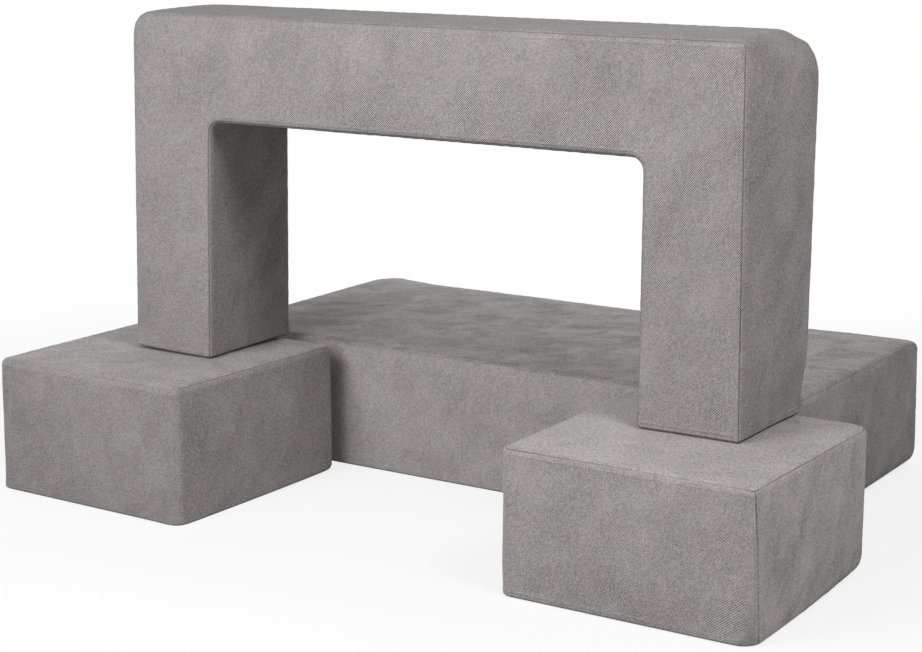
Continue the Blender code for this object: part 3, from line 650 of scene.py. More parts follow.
class Slab(Module):
    """A rectangular module, the base or a block: its outline, bottom and top are its sides."""

    bottom = 1

    def __init__(self, name, sizes):
        boxes = [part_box(f"{name}_cover_{part}") for part in ("side_band", "top_panel")]
        low = np.min([box[0] for box in boxes], axis=0)
        high = np.max([box[1] for box in boxes], axis=0)
        side = sizes.side_bulge
        crown = sizes.base_crown if name == "base" else sizes.block_crown
        self.crown = crown - TRAITS[name]["raised_rim"]
        super().__init__(name, sizes, (low[0] + side, low[1] + side, 0.0),
                         (high[0] - side, high[1], high[2] - self.crown))

    def filled(self, x, y, z):
        return np.ones(x.shape, bool)

    def from_closing(self, flat):
        """Distances from the two sides that meet in the band's closing seam."""
        return [self.high[i] - flat[:, i] if far else flat[:, i] - self.low[i]
                for i, far in enumerate(self.traits["closing"])]

    def slid(self, flat):
        """Lattice places slid along the band, so that the closing seam runs askew."""
        place = flat.copy()
        end, face = self.from_closing(flat)
        ring = np.minimum(end, face)
        along = np.where(end <= face, face - ring, ring - end)
        slide = self.traits["askew"] * (1 - self.share(flat)[:, 2])
        slide *= 1 - eased(np.abs(along), 0, ASKEW_REACH[0])
        slide *= 1 - eased(ring, 0, ASKEW_REACH[1])
        along = along + slide
        new = (ring + np.maximum(-along, 0), ring + np.maximum(along, 0))
        for i, far in enumerate(self.traits["closing"]):
            place[:, i] = self.high[i] - new[i] if far else self.low[i] + new[i]
        return place

    def sides(self, flat):
        """The bent places, and each side's distance and outward direction."""
        place = self.slid(flat)
        gaps = np.stack([place[:, 0] - self.low[0], self.high[0] - place[:, 0],
                         place[:, 1] - self.low[1], self.high[1] - place[:, 1]])
        outward = np.array([(-1, 0, 0), (1, 0, 0), (0, -1, 0), (0, 1, 0)], float)
        facing = outward[gaps.argmin(0)]
        low_down = np.clip(1 - (flat[:, 2] - self.low[2]) / FOOT_HEIGHT, 0, 1) ** 2
        sharp = place.copy()
        for (right, rear), (top_radius, foot_radius) in self.traits["corners"].items():
            radius = top_radius + (foot_radius - top_radius) * low_down
            signs = (1 if right else -1, 1 if rear else -1)
            corner = [self.high[i] if signs[i] > 0 else self.low[i] for i in (0, 1)]
            out = [(sharp[:, i] - corner[i]) * signs[i] + radius for i in (0, 1)]
            inside = (out[0] > 0) & (out[1] > 0)
            length = np.hypot(*out) + TINY
            scale = np.maximum(*out) / length
            for i in (0, 1):
                bent = corner[i] + signs[i] * (out[i] * scale - radius)
                place[:, i] = np.where(inside, bent, place[:, i])
                facing[:, i] = np.where(inside, signs[i] * out[i] / length, facing[:, i])
        away = np.stack([gaps.min(0), flat[:, 2] - self.low[2], self.high[2] - flat[:, 2]])
        directions = np.zeros((3,) + flat.shape)
        directions[0] = facing
        directions[1, :, 2], directions[2, :, 2] = -1, 1
        return place, away, directions

    def radius(self, flat):
        """The edge radius: at a module's foot it differs, and along its right side."""
        right = eased((flat[:, 0] - self.high[0]) / RIGHT_DEPTH, -1, 1)
        front_foot, rear_foot = self.traits["right_foot_radii"]
        low = self.sizes.resting_radius
        back = self.share(flat)[:, 1]
        low = low + right * (front_foot + back**2 * (rear_foot - front_foot) - low)
        height = eased(flat[:, 2] - self.low[2], low, RADIUS_HEIGHT)
        return low + height * (self.traits["edge_radius"] - low)

    def swelling(self, flat, facing):
        """How far the outline, the bottom and the top stand out."""
        up = [rise(flat[:, i], self.low[i], self.high[i]) for i in range(3)]
        zip_share = np.abs(np.sin(np.pi * (flat[:, 2] - self.zip_height) / self.zip_height))
        side = self.sizes.side_bulge
        outline = facing[0, :, 0] ** 2 * side * up[1] * up[2]
        front_or_rear = np.where(facing[0, :, 1] > 0, self.sizes.rear_bulge * zip_share, side)
        outline += facing[0, :, 1] ** 2 * front_or_rear * up[0] * up[2]
        return np.stack([outline, 0 * outline, self.crown * up[0] * up[1]])

    def tightness(self, flat):
        """As on every module, but the band's closing seam has its own."""
        beside = 1 - eased(np.maximum(*self.from_closing(flat)), 0, CLOSING_REACH)
        along = super().tightness(flat)
        return along + beside * (self.traits["closing_tightness"] - along)

    def seams(self, flat):
        """How far lattice places are from the nearest seam, over the surface."""
        around = np.concatenate([flat - self.low, self.high - flat], 1)[:, [0, 1, 3, 4]].min(1)
        return np.min([
            np.maximum(self.high[2] - flat[:, 2], around),
            np.maximum(flat[:, 2] - self.low[2], around),
            np.maximum(*self.from_closing(flat)),
        ], axis=0)

    def lean(self, place, flat):
        """Move the corners that don't stand true, and sink the base's rear edge."""
        x, y, z = self.share(flat).T
        right = 0.0
        for back, name in ((1 - y, "front_right"), (y, "rear_right")):
            foot, top = self.traits[name]
            right += back * (foot + (top - foot) * z)
        place[:, 0] += self.beside_slot(flat, x) * right
        place[:, 1] -= x * (1 - y) * (1 - z) * self.traits["forward"]
        place[:, 0] -= (1 - x) * (1 - y) * (1 - z) * self.traits["front_left_foot"]
        place[:, 2] += (1 - x) * (1 - y) * z * self.traits["front_left_rise"]
        rear = 1 - eased(self.high[1] - flat[:, 1], 0, SUNK_DEPTH)
        share, length = LESS_AT_LEFT
        less = share * (1 - eased(flat[:, 0], self.low[0], length))
        share, start, length = LESS_AT_RIGHT
        less += share * eased(flat[:, 0], start, length)
        place[:, 2] -= self.traits["sunk_rear"] * rear * (1 - less) * eased(z, 0, 1)
        return place


def bend_corner(place, facing, middle, side, radius, outward=1, fade=0.0):
    """Bend a square corner of a front's outline onto its arc, and turn its directions.

    Beyond the arc the bend goes on to the outline, or fades out over the length that is given.
    """
    x, z = place[:, 0], place[:, 2]
    out = np.stack([(x - middle[0]) * side, z - middle[1]])
    length, reach = np.hypot(*out) + TINY, out.max(0)
    bent, scale = (out > 0).all(0), reach / length
    if fade:
        bent &= reach < radius + fade
        scale = scale + (1 - scale) * eased(reach, radius, fade)
    radial = np.stack([(x - middle[0]) / length, 0 * x, out[1] / length], 1)
    place[:, 0] = np.where(bent, middle[0] + (x - middle[0]) * scale, x)
    place[:, 2] = np.where(bent, middle[1] + out[1] * scale, z)
    return np.where(bent[:, None], outward * radial, facing)


class Arch(Module):
    """The U-shaped module that stands on the two blocks.

    Its sides are the outline, the opening's walls, the front, the rear and the feet.
    """

    bottom = 4

    def __init__(self, sizes):
        low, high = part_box("arch_cover_outer_band")
        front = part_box("arch_cover_front_panel")[0][1]
        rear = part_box("arch_cover_rear_panel_upper")[1][1]
        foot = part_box("arch_foot_panel_left")[0][2]
        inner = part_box("arch_cover_inner_band")
        side = sizes.side_bulge
        super().__init__("arch", sizes, (low[0] + side, front + side, foot),
                         (high[0] - side, rear, high[2] - side))
        self.window = (inner[0][0] + BAND_TURN, inner[1][0] - BAND_TURN, inner[1][2] - BAND_TURN)
        self.walls = (self.window[:2], self.window[2:])

    def filled(self, x, y, z):
        left, right, top = self.window
        return ~((x > left) & (x < right) & (z < top))

    def sides(self, flat):
        """The bent places, and each side's distance and outward direction."""
        left, right, top = self.window
        x, y, z = flat.T
        place = flat.copy()
        outline = np.stack([x - self.low[0], self.high[0] - x, self.high[2] - z])
        outside = np.array([(-1, 0, 0), (1, 0, 0), (0, 0, 1)], float)[outline.argmin(0)]
        across = np.maximum(left - x, x - right)
        sign = np.where(x < (left + right) / 2, -1.0, 1.0)
        sideways = across > z - top
        inside = np.stack([np.where(sideways, -sign, 0), 0 * x, np.where(sideways, 0, -1.0)], 1)

        # on the right, the outer top corner's radius grows from front to rear
        front, rear = self.sizes.front_corner, self.sizes.rear_corner
        growing = front + self.share(flat)[:, 1] * (rear - front)
        radius = np.where(x > 0, growing, self.sizes.left_corner)
        middle = np.where(x > 0, self.high[0] - radius, self.low[0] + radius)
        outside = bend_corner(place, outside, (middle, self.high[2] - radius),
                              np.where(x > 0, 1, -1), radius)
        radius = self.sizes.opening_corner
        middle = np.where(sign < 0, left + radius, right - radius)
        inside = bend_corner(place, inside, (middle, top - radius), sign, radius,
                             outward=-1, fade=CORNER_FADE)

        away = np.stack([outline.min(0), np.maximum(across, z - top), y - self.low[1],
                         self.high[1] - y, z - self.low[2]])
        facing = np.zeros((5,) + flat.shape)
        facing[0], facing[1] = outside, inside
        facing[2, :, 1], facing[3, :, 1], facing[4, :, 2] = -1, 1, -1
        return place, away, facing

    def radius(self, flat):
        """The edge radius: each foot has its own."""
        height = eased(flat[:, 2], self.low[2], RADIUS_HEIGHT)
        low = np.where(flat[:, 0] < 0, *self.traits["foot_radii"])
        return low + height * (self.traits["edge_radius"] - low)

    def swelling(self, flat, facing):
        """How far each side stands out."""
        _, away, _ = self.sides(flat)
        through = rise(flat[:, 1], self.low[1], self.high[1])
        from_foot = quarter_wave((flat[:, 2] - self.low[2]) / SWELL_LENGTH)
        face = quarter_wave(np.minimum(away[0], away[1]) / SWELL_LENGTH) * from_foot
        from_zip = quarter_wave(np.abs(flat[:, 2] - self.zip_height) / ZIP_SWELL_LENGTH)
        side, opening = self.sizes.side_bulge, self.sizes.opening_bulge
        return np.stack([side * through * from_foot, opening * through * from_foot, side * face,
                         self.sizes.rear_bulge * face * from_zip, 0 * face])

    def seams(self, flat):
        """How far lattice places are from the nearest seam, over the surface."""
        _, away, _ = self.sides(flat)
        around = np.minimum(np.minimum(away[0], away[1]), away[4])
        loops = [np.maximum(away[side], around) for side in (2, 3)]
        loops.append(np.maximum(away[4], away[:4].min(0)))
        return np.min(loops, axis=0)

    def lean(self, place, flat):
        """The legs stand a little askew, and the right side swells towards the rear."""
        x, _, z = flat.T
        back = self.share(flat)[:, 1]
        true = [slope * (z - height)
                for slope, height in (LEFT_LEG_FRONT, LEFT_LEG_REAR, RIGHT_LEG_FRONT)]
        left = 1 - eased(x, self.window[0], LEAN_REACH)
        right = self.beside_slot(flat, eased(x, self.window[1], self.high[0] - self.window[1]))
        swollen = self.sizes.rear_swell * eased(z, self.low[2], SWELL_HEIGHT)
        place[:, 0] += (left * ((1 - back) * true[0] + back * true[1])
                        + right * ((1 - back) * true[2] + back * swollen))
        return place


def rounded(form, flat):
    """The places of lattice points on the rounded, crowned form."""
    place, away, facing = form.sides(flat)
    radius = form.radius(flat)
    share = np.clip((radius - away) / radius, 0, 1)
    share = share / (np.sqrt((share**2).sum(0)) + TINY_SHARE)
    inset = np.where(away < radius, radius * (1 - share) - away, 0) + form.sizes.slack
    inset[form.bottom] -= form.sizes.slack
    swelling = form.swelling(flat, facing)
    place = place - np.einsum("sp,spi->pi", np.where(away < radius, inset, 0), facing)
    place += np.einsum("sp,spi->pi", share**2 * swelling, facing)
    return form.lean(place, flat)


# Covers

# How much the flecks show on fronts and rears, on sides and on tops, where the pile is seen
# more from its end
GRAIN = (1.0, 1.5, 1.6)
# Each UV map's axes on sides, on fronts and rears and on tops, and its scale there. The weave
# and the specks run across a wall and up it, and the pile down a wall and across a top. The
# specks lie drawn out along the depth of the sides and tops, with the pile.
ACROSS_AND_UP, DOWN = ((1, 2), (0, 2), (0, 1)), ((2, 1), (2, 0), (0, 1))
EVEN = ((1.0, 1.0), (1.0, 1.0), (1.0, 1.0))
UV_MAPS = {
    "weave": (ACROSS_AND_UP, EVEN),
    "pile": (DOWN, EVEN),
    "specks": (ACROSS_AND_UP, ((0.6, 1.0), (1.0, 1.0), (1.0, 0.4))),
}
# How firmly the foam holds a cover, and how much more firmly its seams and its edges do, with
# the width over which they do so. The zip's tapes hold the band round it fast.
FOAM_HOLDS = 0.55
SEAM_HOLDS, SEAM_HOLD_WIDTH = 0.45, 0.010
EDGE_HOLDS, EDGE_HOLD_WIDTH = 0.40, 0.009
ZIP_HOLD_WIDTH, ZIP_HOLD_DEPTH = 0.017, 0.002
CLOTH = {
    "pin_stiffness": 1.0,
    "use_pressure": True,
    "tension_stiffness": 12.0,
    "compression_stiffness": 8.0,
    "shear_stiffness": 5.0,
    "bending_stiffness": 0.6,
    "shrink_min": -0.012,
    "quality": 4,
}
# Beside a seam: where the cloth rolls and how widely, how widely the allowance prints and the
# seam shades the cloth, with the least share of that shade, and how far the puckers reach, the
# power by which they fade, their width and how much they are drawn out across the seam
ROLL_AT, ROLL_WIDTH = 0.0042, 0.0024
PRINT_WIDTH = 0.0016
SHADE_WIDTH, LEAST_SHADE = 0.0014, 0.45
PUCKER_REACH, PUCKER_FADING, PUCKER_WIDTH, PUCKER_DRAWN = 0.020, 1.5, 0.017, 0.8
# A thread is tight and loose in stretches of this length, about a mean and by a swing. The
# loosest seam is drawn in by a share, and all are drawn in by that much more, between limits.
THREAD_STRETCH, THREAD_MEAN, THREAD_SWING = 0.16, 0.55, 0.45
LOOSE_SHARE, DRAWN_MORE, DRAWN_LIMITS = 0.35, 0.25, (0.3, 1.1)
# How far the noise of one seed lies from the next one's
SEED_STEP = (7.31, 3.17, 5.77)
# The cloth's waves: width, share and seed of each kind, their height, and how far from an edge
# they reach it
WAVES = ((0.11, 1.0, 3), (0.05, 0.5, 5))
WAVE_HEIGHT, WAVE_START = 0.0009, 0.03
# How near to the floor or a block the cloth can't stand out, and how near to the opening's
# outline it counts as a wall
LYING = 0.004
WALL_DEPTH = 0.005
# The slot: its edge's width, its lip, which stands up, and its topstitching, which presses the
# cloth down. Nothing else moves the cloth so far round it, and no seam lies nearer than that.
SLOT_EDGE = 0.0012
LIP_HEIGHT, LIP_AT, LIP_WIDTH = 0.0006, 0.0028, 0.0020
PRESSED_DEPTH, PRESSED_WIDTH = 0.0007, 0.0011
ROUND_SLOT, NO_SEAM = 0.014, 0.02
# The ribs show at least by this share. They show more from a place along X and over a length,
# where the light crosses them, and on cloth that faces the front from a share and over a share.
RIBS_LEAST = 0.40
RIBS_FROM, RIBS_OVER = -0.6, 0.9
FRONT_FROM, FRONT_OVER = 0.25, 0.625
# A leg on its block: up to which height its points say how wide it is, where round it the
# block's top is pressed flat and how far below the foot, how far apart the two stay, over which
# height and how far round the leg its foot follows the top, and where that is measured, in from
# the leg's edges and from above
LEG_FOOT = 0.02
PRESS_START, PRESS_LENGTH, PRESS_GAP = -0.012, 0.02, 0.0012
FOOT_GAP, FOOT_FOLLOWS, FOOT_MARGIN = 0.0009, 0.07, 0.03
INSET_EDGE, INSET_REAR = 0.004, 0.014
ABOVE_BLOCKS = 0.5


def new_object(name, data):
    """A new object in the scene."""
    thing = bpy.data.objects.new(name, data)
    bpy.context.scene.collection.objects.link(thing)
    return thing


def evaluated(thing):
    """An object as its modifiers leave it."""
    return thing.evaluated_get(bpy.context.evaluated_depsgraph_get())


def read_vectors(mesh, name="position"):
    """One of a mesh's vector attributes, by default its points' places, as an array."""
    values = np.empty(len(mesh.vertices) * 3, np.float32)
    mesh.attributes[name].data.foreach_get("vector", values)
    return values.reshape(-1, 3).astype(float)


def read_numbers(mesh, name):
    """One of a mesh's number attributes as an array."""
    values = np.empty(len(mesh.vertices), np.float32)
    mesh.attributes[name].data.foreach_get("value", values)
    return values


def write(mesh, name, values):
    """Give a mesh's points an attribute: numbers, or vectors where the values are rows."""
    kind, part = ("FLOAT_VECTOR", "vector") if values.ndim > 1 else ("FLOAT", "value")
    attribute = mesh.attributes.new(name, kind, "POINT")
    attribute.data.foreach_set(part, values.astype(np.float32).ravel())


def move_points(mesh, places):
    """Move a mesh's points to their places."""
    mesh.vertices.foreach_set("co", places.astype(np.float32).ravel())
    mesh.update()


def cover_cage(form):
    """A module's cover as a coarse object with its flat places and UV maps."""
    flat, faces = lattice_shell(form.lines(), form.filled)
    mesh = bpy.data.meshes.new(f"{form.name}_cage")
    mesh.from_pydata(rounded(form, flat).tolist(), [], faces.tolist())
    write(mesh, "flat", flat)
    corners = flat[faces]
    facing = (corners.max(1) - corners.min(1)).argmin(1)
    for name, (axes, scale) in UV_MAPS.items():
        layer = mesh.uv_layers.new(name=name)
        chosen = np.array(axes)[facing][:, None, :].repeat(4, 1)
        pairs = np.take_along_axis(corners, chosen, 2) * np.array(scale)[facing][:, None, :]
        layer.data.foreach_set("uv", pairs.astype(np.float32).ravel())
    return new_object(mesh.name, mesh), flat


def settle(cage, form, flat):
    """Let the cover settle on its foam as cloth under pressure, held at seams and zip.

    The foam holds every point a little, and the seams and what the module rests on hold it
    fast, so the cloth swells between them and creases slightly where it is held.
    """
    sizes, scene = form.sizes, bpy.context.scene
    _, away, _ = form.sides(flat)
    hold = FOAM_HOLDS + SEAM_HOLDS * hump(form.seams(flat), SEAM_HOLD_WIDTH)
    edge = np.sort(away, 0)[1]
    hold = np.maximum(hold, FOAM_HOLDS + EDGE_HOLDS * hump(edge, EDGE_HOLD_WIDTH))
    at_zip = np.abs(flat[:, 2] - form.zip_height) < ZIP_HOLD_WIDTH
    at_zip &= form.high[1] - flat[:, 1] < ZIP_HOLD_DEPTH
    hold = np.where(at_zip | (away[form.bottom] < ON_FACE), 1.0, hold)
    group = cage.vertex_groups.new(name="held")
    for index, weight in enumerate(np.round(hold, 3)):
        group.add([index], float(weight), "REPLACE")
    start = read_vectors(cage.data)
    settings = cage.modifiers.new("filling", "CLOTH").settings
    for name, value in CLOTH.items():
        setattr(settings, name, value)
    settings.vertex_group_mass = group.name
    settings.uniform_pressure_force = sizes.pressure
    settings.effector_weights.gravity = 0.0
    cage.modifiers["filling"].collision_settings.use_collision = False
    for number in range(1, sizes.frames + 1):
        scene.frame_set(number)
    travel = read_vectors(evaluated(cage).data) - start
    cage.modifiers.clear()
    scene.frame_set(1)
    length = np.linalg.norm(travel, axis=1, keepdims=True) + TINY
    settled = start + travel * sizes.travel * np.tanh(length / sizes.travel) / length
    settled[:, 2] = np.maximum(settled[:, 2], form.low[2])
    move_points(cage.data, settled)


def cloth_noise(places, size, seed):
    """Smooth noise over places, about -1 to 1, its bumps about that size across."""
    shift = Vector([seed * step for step in SEED_STEP])
    return np.array([noise.noise(Vector(place) / size + shift) for place in places])


def subdivided(cage):
    """The cage's mesh with one subdivision applied."""
    subdivision = cage.modifiers.new("finer", "SUBSURF")
    subdivision.levels = subdivision.render_levels = 1
    mesh = bpy.data.meshes.new_from_object(evaluated(cage))
    bpy.data.objects.remove(cage)
    return mesh


def sew(mesh, form, seed):
    """Draw in the seams, roll the cloth beside them and pucker it, after the settling."""
    seams, zips = bpy.context.scene.sofa_seams, bpy.context.scene.sofa_zips
    flat, place = read_vectors(mesh, "flat"), read_vectors(mesh)
    normals = np.empty(len(mesh.vertices) * 3, np.float32)
    mesh.vertex_normals.foreach_get("vector", normals)
    normals = normals.reshape(-1, 3).astype(float)
    write(mesh, "outward", normals)
    _, away, facing = form.sides(flat)
    seam, tightness = form.seams(flat), form.tightness(flat)

    # a seam is drawn in more where its thread is tighter
    drawn = THREAD_MEAN + THREAD_SWING * cloth_noise(flat, THREAD_STRETCH, seed + 7)
    drawn_in = seams.depth * (LOOSE_SHARE + (1 - LOOSE_SHARE) * tightness)
    drawn_in *= np.clip(drawn + DRAWN_MORE, *DRAWN_LIMITS)
    line = -drawn_in * hump(seam, seams.width)
    rolled = seams.roll * hump(seam - ROLL_AT, ROLL_WIDTH)
    printed = tightness * seams.allowance_print * hump(seam - seams.allowance, PRINT_WIDTH)

    # puckers run across the seam: the noise is drawn out in that direction
    second = np.argsort(away, 0)[1]
    toward = np.take_along_axis(facing, second[None, :, None].repeat(3, 2), 0)[0]
    across = (place * toward).sum(1, keepdims=True) * toward
    pucker = cloth_noise(place - PUCKER_DRAWN * across, PUCKER_WIDTH, seed)
    pucker *= np.exp(-((seam / PUCKER_REACH) ** PUCKER_FADING))
    waves = sum(share * cloth_noise(place, width, seed + more) for width, share, more in WAVES)
    free = eased(np.sort(away, 0)[1], 0, WAVE_START)
    move = line + rolled + printed + seams.pucker * pucker + WAVE_HEIGHT * waves * free

    # the zip's slot, its turned edges and its line of stitches
    slot_away, beyond = from_slot(form.name, flat)
    rear = form.high[1] - flat[:, 1] < ON_FACE
    inside = 1 - eased(slot_away, -SLOT_EDGE / 2, SLOT_EDGE)
    inside *= 1 - eased(beyond, -SLOT_EDGE / 2, SLOT_EDGE)
    lip_away = np.maximum(slot_away, beyond)
    lip = LIP_HEIGHT * hump(lip_away - LIP_AT, LIP_WIDTH)
    lip -= PRESSED_DEPTH * hump(lip_away - zips.topstitch, PRESSED_WIDTH)
    around = rear & (lip_away < ROUND_SLOT)
    move = np.where(around, lip, move)
    move = np.where(rear, move - zips.recess * inside, move)
    write(mesh, "seam_distance", np.where(around, NO_SEAM, seam))
    shade = tightness * np.clip(drawn, LEAST_SHADE, 1) * hump(seam, SHADE_WIDTH)
    write(mesh, "seam_shade", np.where(around, 0, shade))
    write_pile(mesh, form, flat, normals, away)

    move = np.where(away[form.bottom] < LYING, np.minimum(move, 0), move)
    place = place + normals * move[:, None]
    if form.name != "arch":
        place[:, 2] = np.maximum(place[:, 2], form.low[2])
    move_points(mesh, place)


def write_pile(mesh, form, flat, normals, away):
    """Say how the ribs and the pile show at each point of a cover, and the light and shade painted
    there.
    """
    traits = form.traits
    across = RIBS_LEAST + (1 - RIBS_LEAST) * eased(flat[:, 0], RIBS_FROM, RIBS_OVER)
    front = eased(-normals[:, 1], FRONT_FROM, FRONT_OVER)
    write(mesh, "ribs", traits["ribs"] * (RIBS_LEAST + (1 - RIBS_LEAST) * front * across))
    write(mesh, "crossed", np.full(len(flat), traits["crossed"]))
    share = normals[:, [1, 0, 2]] ** 2
    write(mesh, "mottle", share @ traits["mottle"])
    write(mesh, "grain", share @ GRAIN)
    # painted light and shade: fronts and rears, sides and tops lighter or darker for how the lamps
    # fall on them
    nap = share @ traits["nap"]
    # the opening's walls are painted darker still, a painted shade
    if form.name == "arch":
        wall = (away[1] < away[0]) & (away[1] < WALL_DEPTH)
        nap = np.where(wall, nap * traits["nap_inside"], nap)
    write(mesh, "nap", nap)


def make_cover(form, seed):
    """One module's padded cover, settled, subdivided and sewn."""
    cage, flat = cover_cage(form)
    settle(cage, form, flat)
    mesh = subdivided(cage)
    sew(mesh, form, seed)
    mesh.name = f"{form.name}_cushion"
    mesh.materials.append(finish_for("cover"))
    mesh.shade_smooth()
    return new_object(mesh.name, mesh)


def declare_cover(cushion, form):
    """Hang a cover on its module's body, and hide the module's CAD nodes that it stands for, all
    but the zip's.
    """
    kept = ("zip_tape", "zip_teeth", "zip_slider", "zip_pull")
    nodes = [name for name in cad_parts
             if name.startswith(form.name + "_") and not any(word in name for word in kept)]
    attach(cushion, form.name)
    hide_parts(*nodes)


def press_together(block, arch, form):
    """Press a block's top flat under the leg on it, and let the leg's foot follow the top."""
    on_left = block.name.startswith("left")
    under_leg = read_vectors(arch.data)
    under_leg = under_leg[under_leg[:, 2] < form.low[2] + LEG_FOOT, 0]
    under_leg = under_leg[(under_leg < 0) == on_left]
    start, end = under_leg.min(), under_leg.max()
    place = read_vectors(block.data)
    inside = np.minimum.reduce([place[:, 0] - start, end - place[:, 0],
                                place[:, 1] - form.low[1]])
    pressed = np.minimum(place[:, 2], form.low[2] - PRESS_GAP)
    place[:, 2] += (pressed - place[:, 2]) * eased(inside, PRESS_START, PRESS_LENGTH)
    move_points(block.data, place)

    tree = BVHTree.FromObject(block, bpy.context.evaluated_depsgraph_get())
    place = read_vectors(arch.data)
    low = (place[:, 2] < form.low[2] + FOOT_FOLLOWS) & (place[:, 0] > start - FOOT_MARGIN)
    low &= place[:, 0] < end + FOOT_MARGIN
    for index in np.nonzero(low)[0]:
        x, y, z = place[index]
        x = min(max(x, start + INSET_EDGE), end - INSET_EDGE)
        y = min(max(y, form.low[1] + INSET_EDGE), form.high[1] - INSET_REAR)
        hit = tree.ray_cast(Vector((x, y, ABOVE_BLOCKS)), Vector((0, 0, -1)))[0]
        if hit is None:
            continue
        drop = max(form.low[2] - hit.z - FOOT_GAP, 0)
        if on_left:
            across = (x - start) / (end - start)
            back = (y - form.low[1]) / (form.high[1] - form.low[1])
            front_lift, rear_lift = form.traits["foot_lift"]
            drop -= front_lift * (1 - across) ** 2 * (1 - back) + rear_lift * across * back**2
        share = 1 - min(max((z - form.low[2]) / FOOT_FOLLOWS, 0), 1)
        place[index, 2] = z - drop * share * share
    move_points(arch.data, place)


# What repeats: stitches along the seams and teeth along the zips, by Geometry Nodes

# A stitch's sides and rings, a tooth head's sides, and how thick the head is for its root
STITCH_SIDES, STITCH_RINGS = 6, 4
HEAD_SIDES, HEAD_THICKNESS = 8, 0.78
# A bevel merges points closer than this share of it, joins faces that meet flatter than one
# angle, and is cut where they meet sharper than the other
MERGED_SHARE = 1 / 20
FLAT_ANGLE, SHARP_ANGLE = math.radians(1), math.radians(35)


def geometry_tree(name, sizes):
    """A node tree with a geometry input and output, named sizes and a material."""
    tree = bpy.data.node_groups.new(name, "GeometryNodeTree")
    sockets = [("Geometry", "INPUT", "NodeSocketGeometry")]
    sockets += [(label, "INPUT", "NodeSocketFloat") for label in sizes]
    sockets += [("Material", "INPUT", "NodeSocketMaterial")]
    sockets += [("Geometry", "OUTPUT", "NodeSocketGeometry")]
    for label, way, kind in sockets:
        tree.interface.new_socket(label, in_out=way, socket_type=kind)
    add = functools.partial(add_node, tree)
    given = add("NodeGroupInput").outputs
    path = add("GeometryNodeMeshToCurve", {"Mesh": given["Geometry"]})
    spaced = add("GeometryNodeResampleCurve", {"Curve": path, "Length": given["Pitch"]},
                 mode="LENGTH")
    return tree, add, given, spaced


def finished_by(add, instances, given):
    """End a tree: real geometry with flat faces, in its material."""
    real = add("GeometryNodeRealizeInstances", {"Geometry": instances})
    flat = add("GeometryNodeSetShadeSmooth", {"Geometry": real, "Shade Smooth": False})
    painted = add("GeometryNodeSetMaterial", {"Geometry": flat, "Material": given["Material"]})
    add("NodeGroupOutput", {0: painted})


def stitching_tree():
    """Stitches along every edge of a mesh, lying on its surface."""
    tree, add, given, spaced = geometry_tree("stitching", ("Pitch", "Length", "Thread", "Lift"))
    outward = add("GeometryNodeInputNamedAttribute", {"Name": "outward"},
                  data_type="FLOAT_VECTOR").outputs["Attribute"]
    lift = add("ShaderNodeVectorMath", {0: outward, "Scale": given["Lift"]}, operation="SCALE")
    lifted = add("GeometryNodeSetPosition", {"Geometry": spaced, "Offset": lift})
    tangent = add("GeometryNodeInputTangent")
    along = add("FunctionNodeAlignRotationToVector", {"Vector": tangent}, axis="X")
    upright = add("FunctionNodeAlignRotationToVector", {"Rotation": along, "Vector": outward},
                  axis="Z", pivot_axis="X")
    stitch = add("GeometryNodeMeshUVSphere", {"Segments": STITCH_SIDES, "Rings": STITCH_RINGS,
                                              "Radius": 0.5})
    size = add("ShaderNodeCombineXYZ", {"X": given["Length"], "Y": given["Thread"],
                                        "Z": given["Thread"]})
    placed = add("GeometryNodeInstanceOnPoints", {"Points": lifted, "Instance": stitch,
                                                  "Rotation": upright, "Scale": size})
    finished_by(add, placed, given)
    return tree


def teeth_tree():
    """Two rows of teeth that lock into each other, along every edge of a mesh.

    A tooth has a root clamped on the tape, and a thinner round head at the zip's middle.
    """
    tree, add, given, spaced = geometry_tree(
        "zip teeth", ("Pitch", "Root Width", "Root Height", "Depth", "Head"))
    half = add("ShaderNodeMath", {0: given["Root Height"], 1: 0.5}, operation="MULTIPLY")
    middle = add("ShaderNodeCombineXYZ", {"Z": half})
    size = add("ShaderNodeCombineXYZ", {"X": given["Root Width"], "Y": given["Depth"],
                                        "Z": given["Root Height"]})
    block = add("GeometryNodeMeshCube", {"Size": size})
    root = add("GeometryNodeTransform", {"Geometry": block, "Translation": middle})
    radius = add("ShaderNodeMath", {0: given["Head"], 1: 0.5}, operation="MULTIPLY")
    thin = add("ShaderNodeMath", {0: given["Depth"], 1: HEAD_THICKNESS}, operation="MULTIPLY")
    disc = add("GeometryNodeMeshCylinder", {"Vertices": HEAD_SIDES, "Radius": radius,
                                            "Depth": thin})
    head = add("GeometryNodeTransform", {"Geometry": disc, "Rotation": (math.pi / 2, 0, 0)})
    tooth = add("GeometryNodeJoinGeometry", {0: root})
    tree.links.new(head.outputs[0], tooth.inputs[0])
    both = add("GeometryNodeJoinGeometry")
    for share, turn in ((0.25, 0.0), (-0.25, math.pi)):
        shift = add("ShaderNodeMath", {0: given["Pitch"], 1: share}, operation="MULTIPLY")
        offset = add("ShaderNodeCombineXYZ", {"X": shift})
        row = add("GeometryNodeSetPosition", {"Geometry": spaced, "Offset": offset})
        placed = add("GeometryNodeInstanceOnPoints", {"Points": row, "Instance": tooth,
                                                      "Rotation": (turn, 0, 0)})
        tree.links.new(placed.outputs[0], both.inputs[0])
    finished_by(add, both, given)
    return tree


def grown(name, path, tree, values):
    """The plain mesh that a tree makes along a path mesh, as an object."""
    holder = new_object(name, path)
    modifier = holder.modifiers.new("grown", "NODES")
    modifier.node_group = tree
    for socket in tree.interface.items_tree:
        if socket.in_out == "INPUT" and socket.name in values:
            modifier[socket.identifier] = values[socket.name]
    mesh = bpy.data.meshes.new_from_object(evaluated(holder))
    mesh.name = name
    bpy.data.objects.remove(holder)
    bpy.data.meshes.remove(path)
    return new_object(name, mesh)


